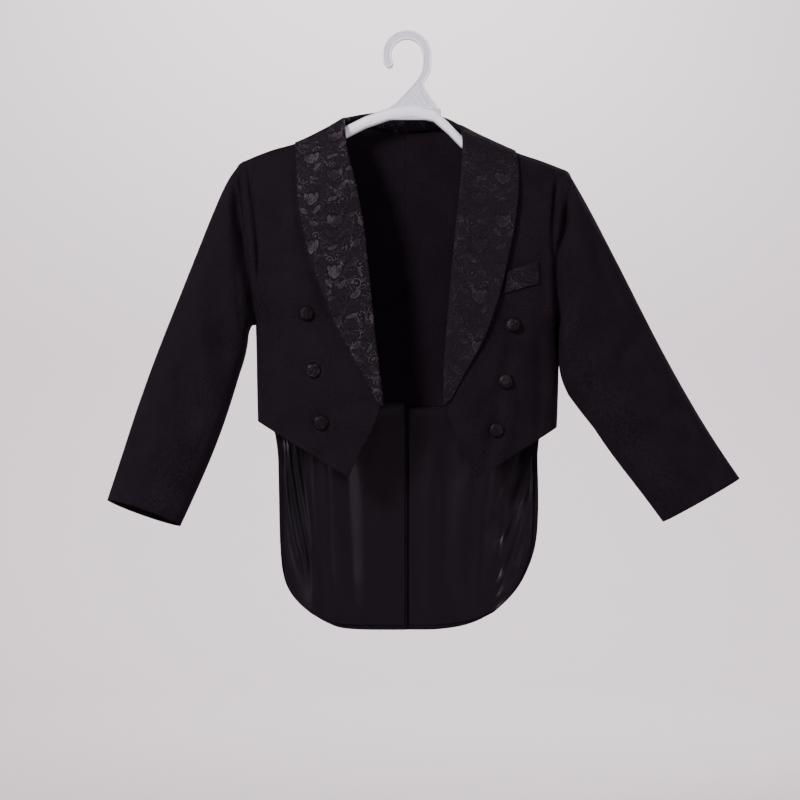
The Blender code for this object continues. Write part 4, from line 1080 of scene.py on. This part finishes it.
AIM = (-0.0078, -0.035, -0.4025)       # middle of the picture, on the coat's front
SENSOR = 36.0
STAGE_RADIUS = 3.3          # the wall stands all round, behind the camera too
STAGE_WALL = 2.6
STAGE_COVE = 0.8            # radius of the curve from floor to wall
STAGE_STEPS, COVE_STEPS = 72, 12
WARM, COOL, WHITE, ROSE = (1.0, 0.98, 0.97), (0.97, 0.98, 1.0), (1.0, 1.0, 1.0), (1.0, 0.98, 1.0)
# columns: name, place, what it points at, size, share of the key's power, colour
LIGHTS = (
    ("key", (-1.6, -2.0, 0.85), AIM, 0.6, 1.0, WARM),
    ("fill", (2.1, -2.2, -0.2), AIM, 1.4, 0.13, COOL),
    ("edge", (2.3, -0.5, 0.1), AIM, 0.7, 0.14, (0.98, 0.98, 1.0)),
    ("top", (0.0, -0.1, 1.5), AIM, 1.0, 0.06, WHITE),
    ("rear key", (1.6, 1.9, 1.3), AIM, 0.6, 0.60, WARM),
    ("wall rear", (0.0, 1.9, 1.2), (0.0, 3.3, -0.6), 1.0, 0.90, ROSE),
    ("wall front", (0.0, -1.9, 1.7), (0.0, -3.3, -0.6), 1.0, 0.06, ROSE),
    ("wall right", (-1.9, 0.0, 1.7), (-3.3, 0.0, -0.6), 1.0, 0.20, ROSE),
    ("wall left", (1.9, 0.0, 1.7), (3.3, 0.0, -0.6), 1.0, 0.20, ROSE),
)


def make_backdrop():
    """A pale round floor that curves up into a wall."""
    settings = bpy.context.scene.tailcoat_stage
    bpy.ops.object.select_all(action="DESELECT")
    bpy.ops.mesh.primitive_plane_add(size=1, location=(0, 0, 0))
    floor = bpy.context.object
    floor.name = "floor"
    low = settings.floor_height
    profile = [(0.0, low)]
    for step in range(COVE_STEPS + 1):
        turn = math.pi / 2 * step / COVE_STEPS
        profile.append((STAGE_RADIUS - STAGE_COVE * (1 - math.sin(turn)),
                        low + STAGE_COVE * (1 - math.cos(turn))))
    profile.append((STAGE_RADIUS, low + STAGE_WALL))
    sheet = bmesh.new()
    verts = [sheet.verts.new((radius, 0, height)) for radius, height in profile]
    edges = [sheet.edges.new(pair) for pair in zip(verts, verts[1:])]
    bmesh.ops.spin(sheet, geom=verts + edges, axis=(0, 0, 1), cent=(0, 0, 0),
                   angle=math.tau, steps=STAGE_STEPS)
    bmesh.ops.remove_doubles(sheet, verts=sheet.verts, dist=MM)
    bmesh.ops.recalc_face_normals(sheet, faces=sheet.faces)
    sheet.to_mesh(floor.data)
    sheet.free()
    floor.data.shade_smooth()
    floor.data.materials.append(plain_material("pale floor", (0.50, 0.45, 0.48), 0.8))


def make_lights():
    """Soft lights all round, the strongest from the upper left."""
    settings = bpy.context.scene.tailcoat_stage
    for name, place, target, size, share, colour in LIGHTS:
        lamp = bpy.data.lights.new(name, "AREA")
        lamp.shape = "DISK"
        lamp.size = size
        lamp.energy = settings.key_power * share
        lamp.color = colour
        holder = link(name, lamp)
        holder.location = place
        away = Vector(target) - Vector(place)
        holder.rotation_euler = away.to_track_quat("-Z", "Y").to_euler()
    world = bpy.data.worlds.new("studio")
    world.use_nodes = True
    sky = world.node_tree.nodes["Background"]
    sky.inputs["Color"].default_value = (0.95, 0.93, 0.96, 1)
    sky.inputs["Strength"].default_value = 0.02
    bpy.context.scene.world = world


def make_camera():
    """A level camera in front of the coat."""
    settings = bpy.context.scene.tailcoat_stage
    lens = bpy.data.cameras.new("camera")
    lens.sensor_width = SENSOR
    lens.sensor_fit = "HORIZONTAL"
    lens.lens = SENSOR * settings.distance / settings.view_width
    camera = link("camera", lens)
    camera.location = (AIM[0], AIM[1] - settings.distance, AIM[2])
    camera.rotation_euler = (math.pi / 2, 0, 0)
    bpy.context.scene.camera = camera


# ---- operators


class ClothOperator:
    """What the operators that make cloth share: each makes the pieces under its label."""

    def execute(self, context):
        make_cloth(self.bl_label)
        return {"FINISHED"}


class TAILCOAT_OT_fronts(ClothOperator, bpy.types.Operator):
    """Makes the two cutaway fronts"""
    bl_idname = "tailcoat.fronts"
    bl_label = "Fronts"


class TAILCOAT_OT_backs(ClothOperator, bpy.types.Operator):
    """Makes the two backs with their tails"""
    bl_idname = "tailcoat.backs"
    bl_label = "Backs and tails"


class TAILCOAT_OT_tail_linings(ClothOperator, bpy.types.Operator):
    """Makes the satin linings of the tails"""
    bl_idname = "tailcoat.tail_linings"
    bl_label = "Tail linings"


class TAILCOAT_OT_sleeves(ClothOperator, bpy.types.Operator):
    """Makes the two-piece sleeves"""
    bl_idname = "tailcoat.sleeves"
    bl_label = "Sleeves"


class TAILCOAT_OT_collar(ClothOperator, bpy.types.Operator):
    """Makes the two halves of the shawl collar"""
    bl_idname = "tailcoat.collar"
    bl_label = "Shawl collar"


class TAILCOAT_OT_welt(ClothOperator, bpy.types.Operator):
    """Makes the breast pocket's welt"""
    bl_idname = "tailcoat.welt"
    bl_label = "Breast welt"


class TAILCOAT_OT_buttons(bpy.types.Operator):
    """Makes the covered buttons"""
    bl_idname = "tailcoat.buttons"
    bl_label = "Buttons"

    def execute(self, context):
        for side in SIDES:
            for number in (1, 2, 3):
                covered_button("button_%s_%d" % (side, number), "jacquard drawn tight")
        return {"FINISHED"}


class TAILCOAT_OT_hanger(bpy.types.Operator):
    """Finishes the moulded hanger"""
    bl_idname = "tailcoat.hanger"
    bl_label = "Hanger"

    def execute(self, context):
        moulded_hanger()
        return {"FINISHED"}


class TAILCOAT_OT_stage(bpy.types.Operator):
    """Sets up the floor, lights and camera"""
    bl_idname = "tailcoat.stage"
    bl_label = "Stage"

    def execute(self, context):
        make_backdrop()
        make_lights()
        make_camera()
        return {"FINISHED"}


OPERATORS = (TAILCOAT_OT_fronts, TAILCOAT_OT_backs, TAILCOAT_OT_tail_linings,
             TAILCOAT_OT_sleeves, TAILCOAT_OT_collar, TAILCOAT_OT_welt, TAILCOAT_OT_buttons,
             TAILCOAT_OT_hanger, TAILCOAT_OT_stage)


class TAILCOAT_PT_panel(bpy.types.Panel):
    """Lists the coat's settings and pieces"""
    bl_idname = "TAILCOAT_PT_panel"
    bl_label = "Tailcoat"
    bl_space_type = "VIEW_3D"
    bl_region_type = "UI"
    bl_category = "Tailcoat"

    def draw(self, context):
        for settings in (context.scene.tailcoat_cloth, context.scene.tailcoat_colours,
                         context.scene.tailcoat_stage):
            for name in settings.__annotations__:
                self.layout.prop(settings, name)
        for operator in OPERATORS:
            self.layout.operator(operator.bl_idname)


SETTINGS = (("tailcoat_cloth", TailcoatCloth), ("tailcoat_colours", TailcoatColours),
            ("tailcoat_stage", TailcoatStage))


def register():
    for name, group in SETTINGS:
        bpy.utils.register_class(group)
        setattr(bpy.types.Scene, name, bpy.props.PointerProperty(type=group))
    for item in OPERATORS + (TAILCOAT_PT_panel,):
        bpy.utils.register_class(item)


def unregister():
    for item in reversed(OPERATORS + (TAILCOAT_PT_panel,)):
        bpy.utils.unregister_class(item)
    for name, group in reversed(SETTINGS):
        delattr(bpy.types.Scene, name)
        bpy.utils.unregister_class(group)


def main():
    register()
    bpy.ops.tailcoat.stage()
    bpy.ops.tailcoat.fronts()
    bpy.ops.tailcoat.backs()
    bpy.ops.tailcoat.tail_linings()
    bpy.ops.tailcoat.sleeves()
    bpy.ops.tailcoat.collar()
    bpy.ops.tailcoat.welt()
    bpy.ops.tailcoat.buttons()
    bpy.ops.tailcoat.hanger()


if __name__ == "__main__":
    main()
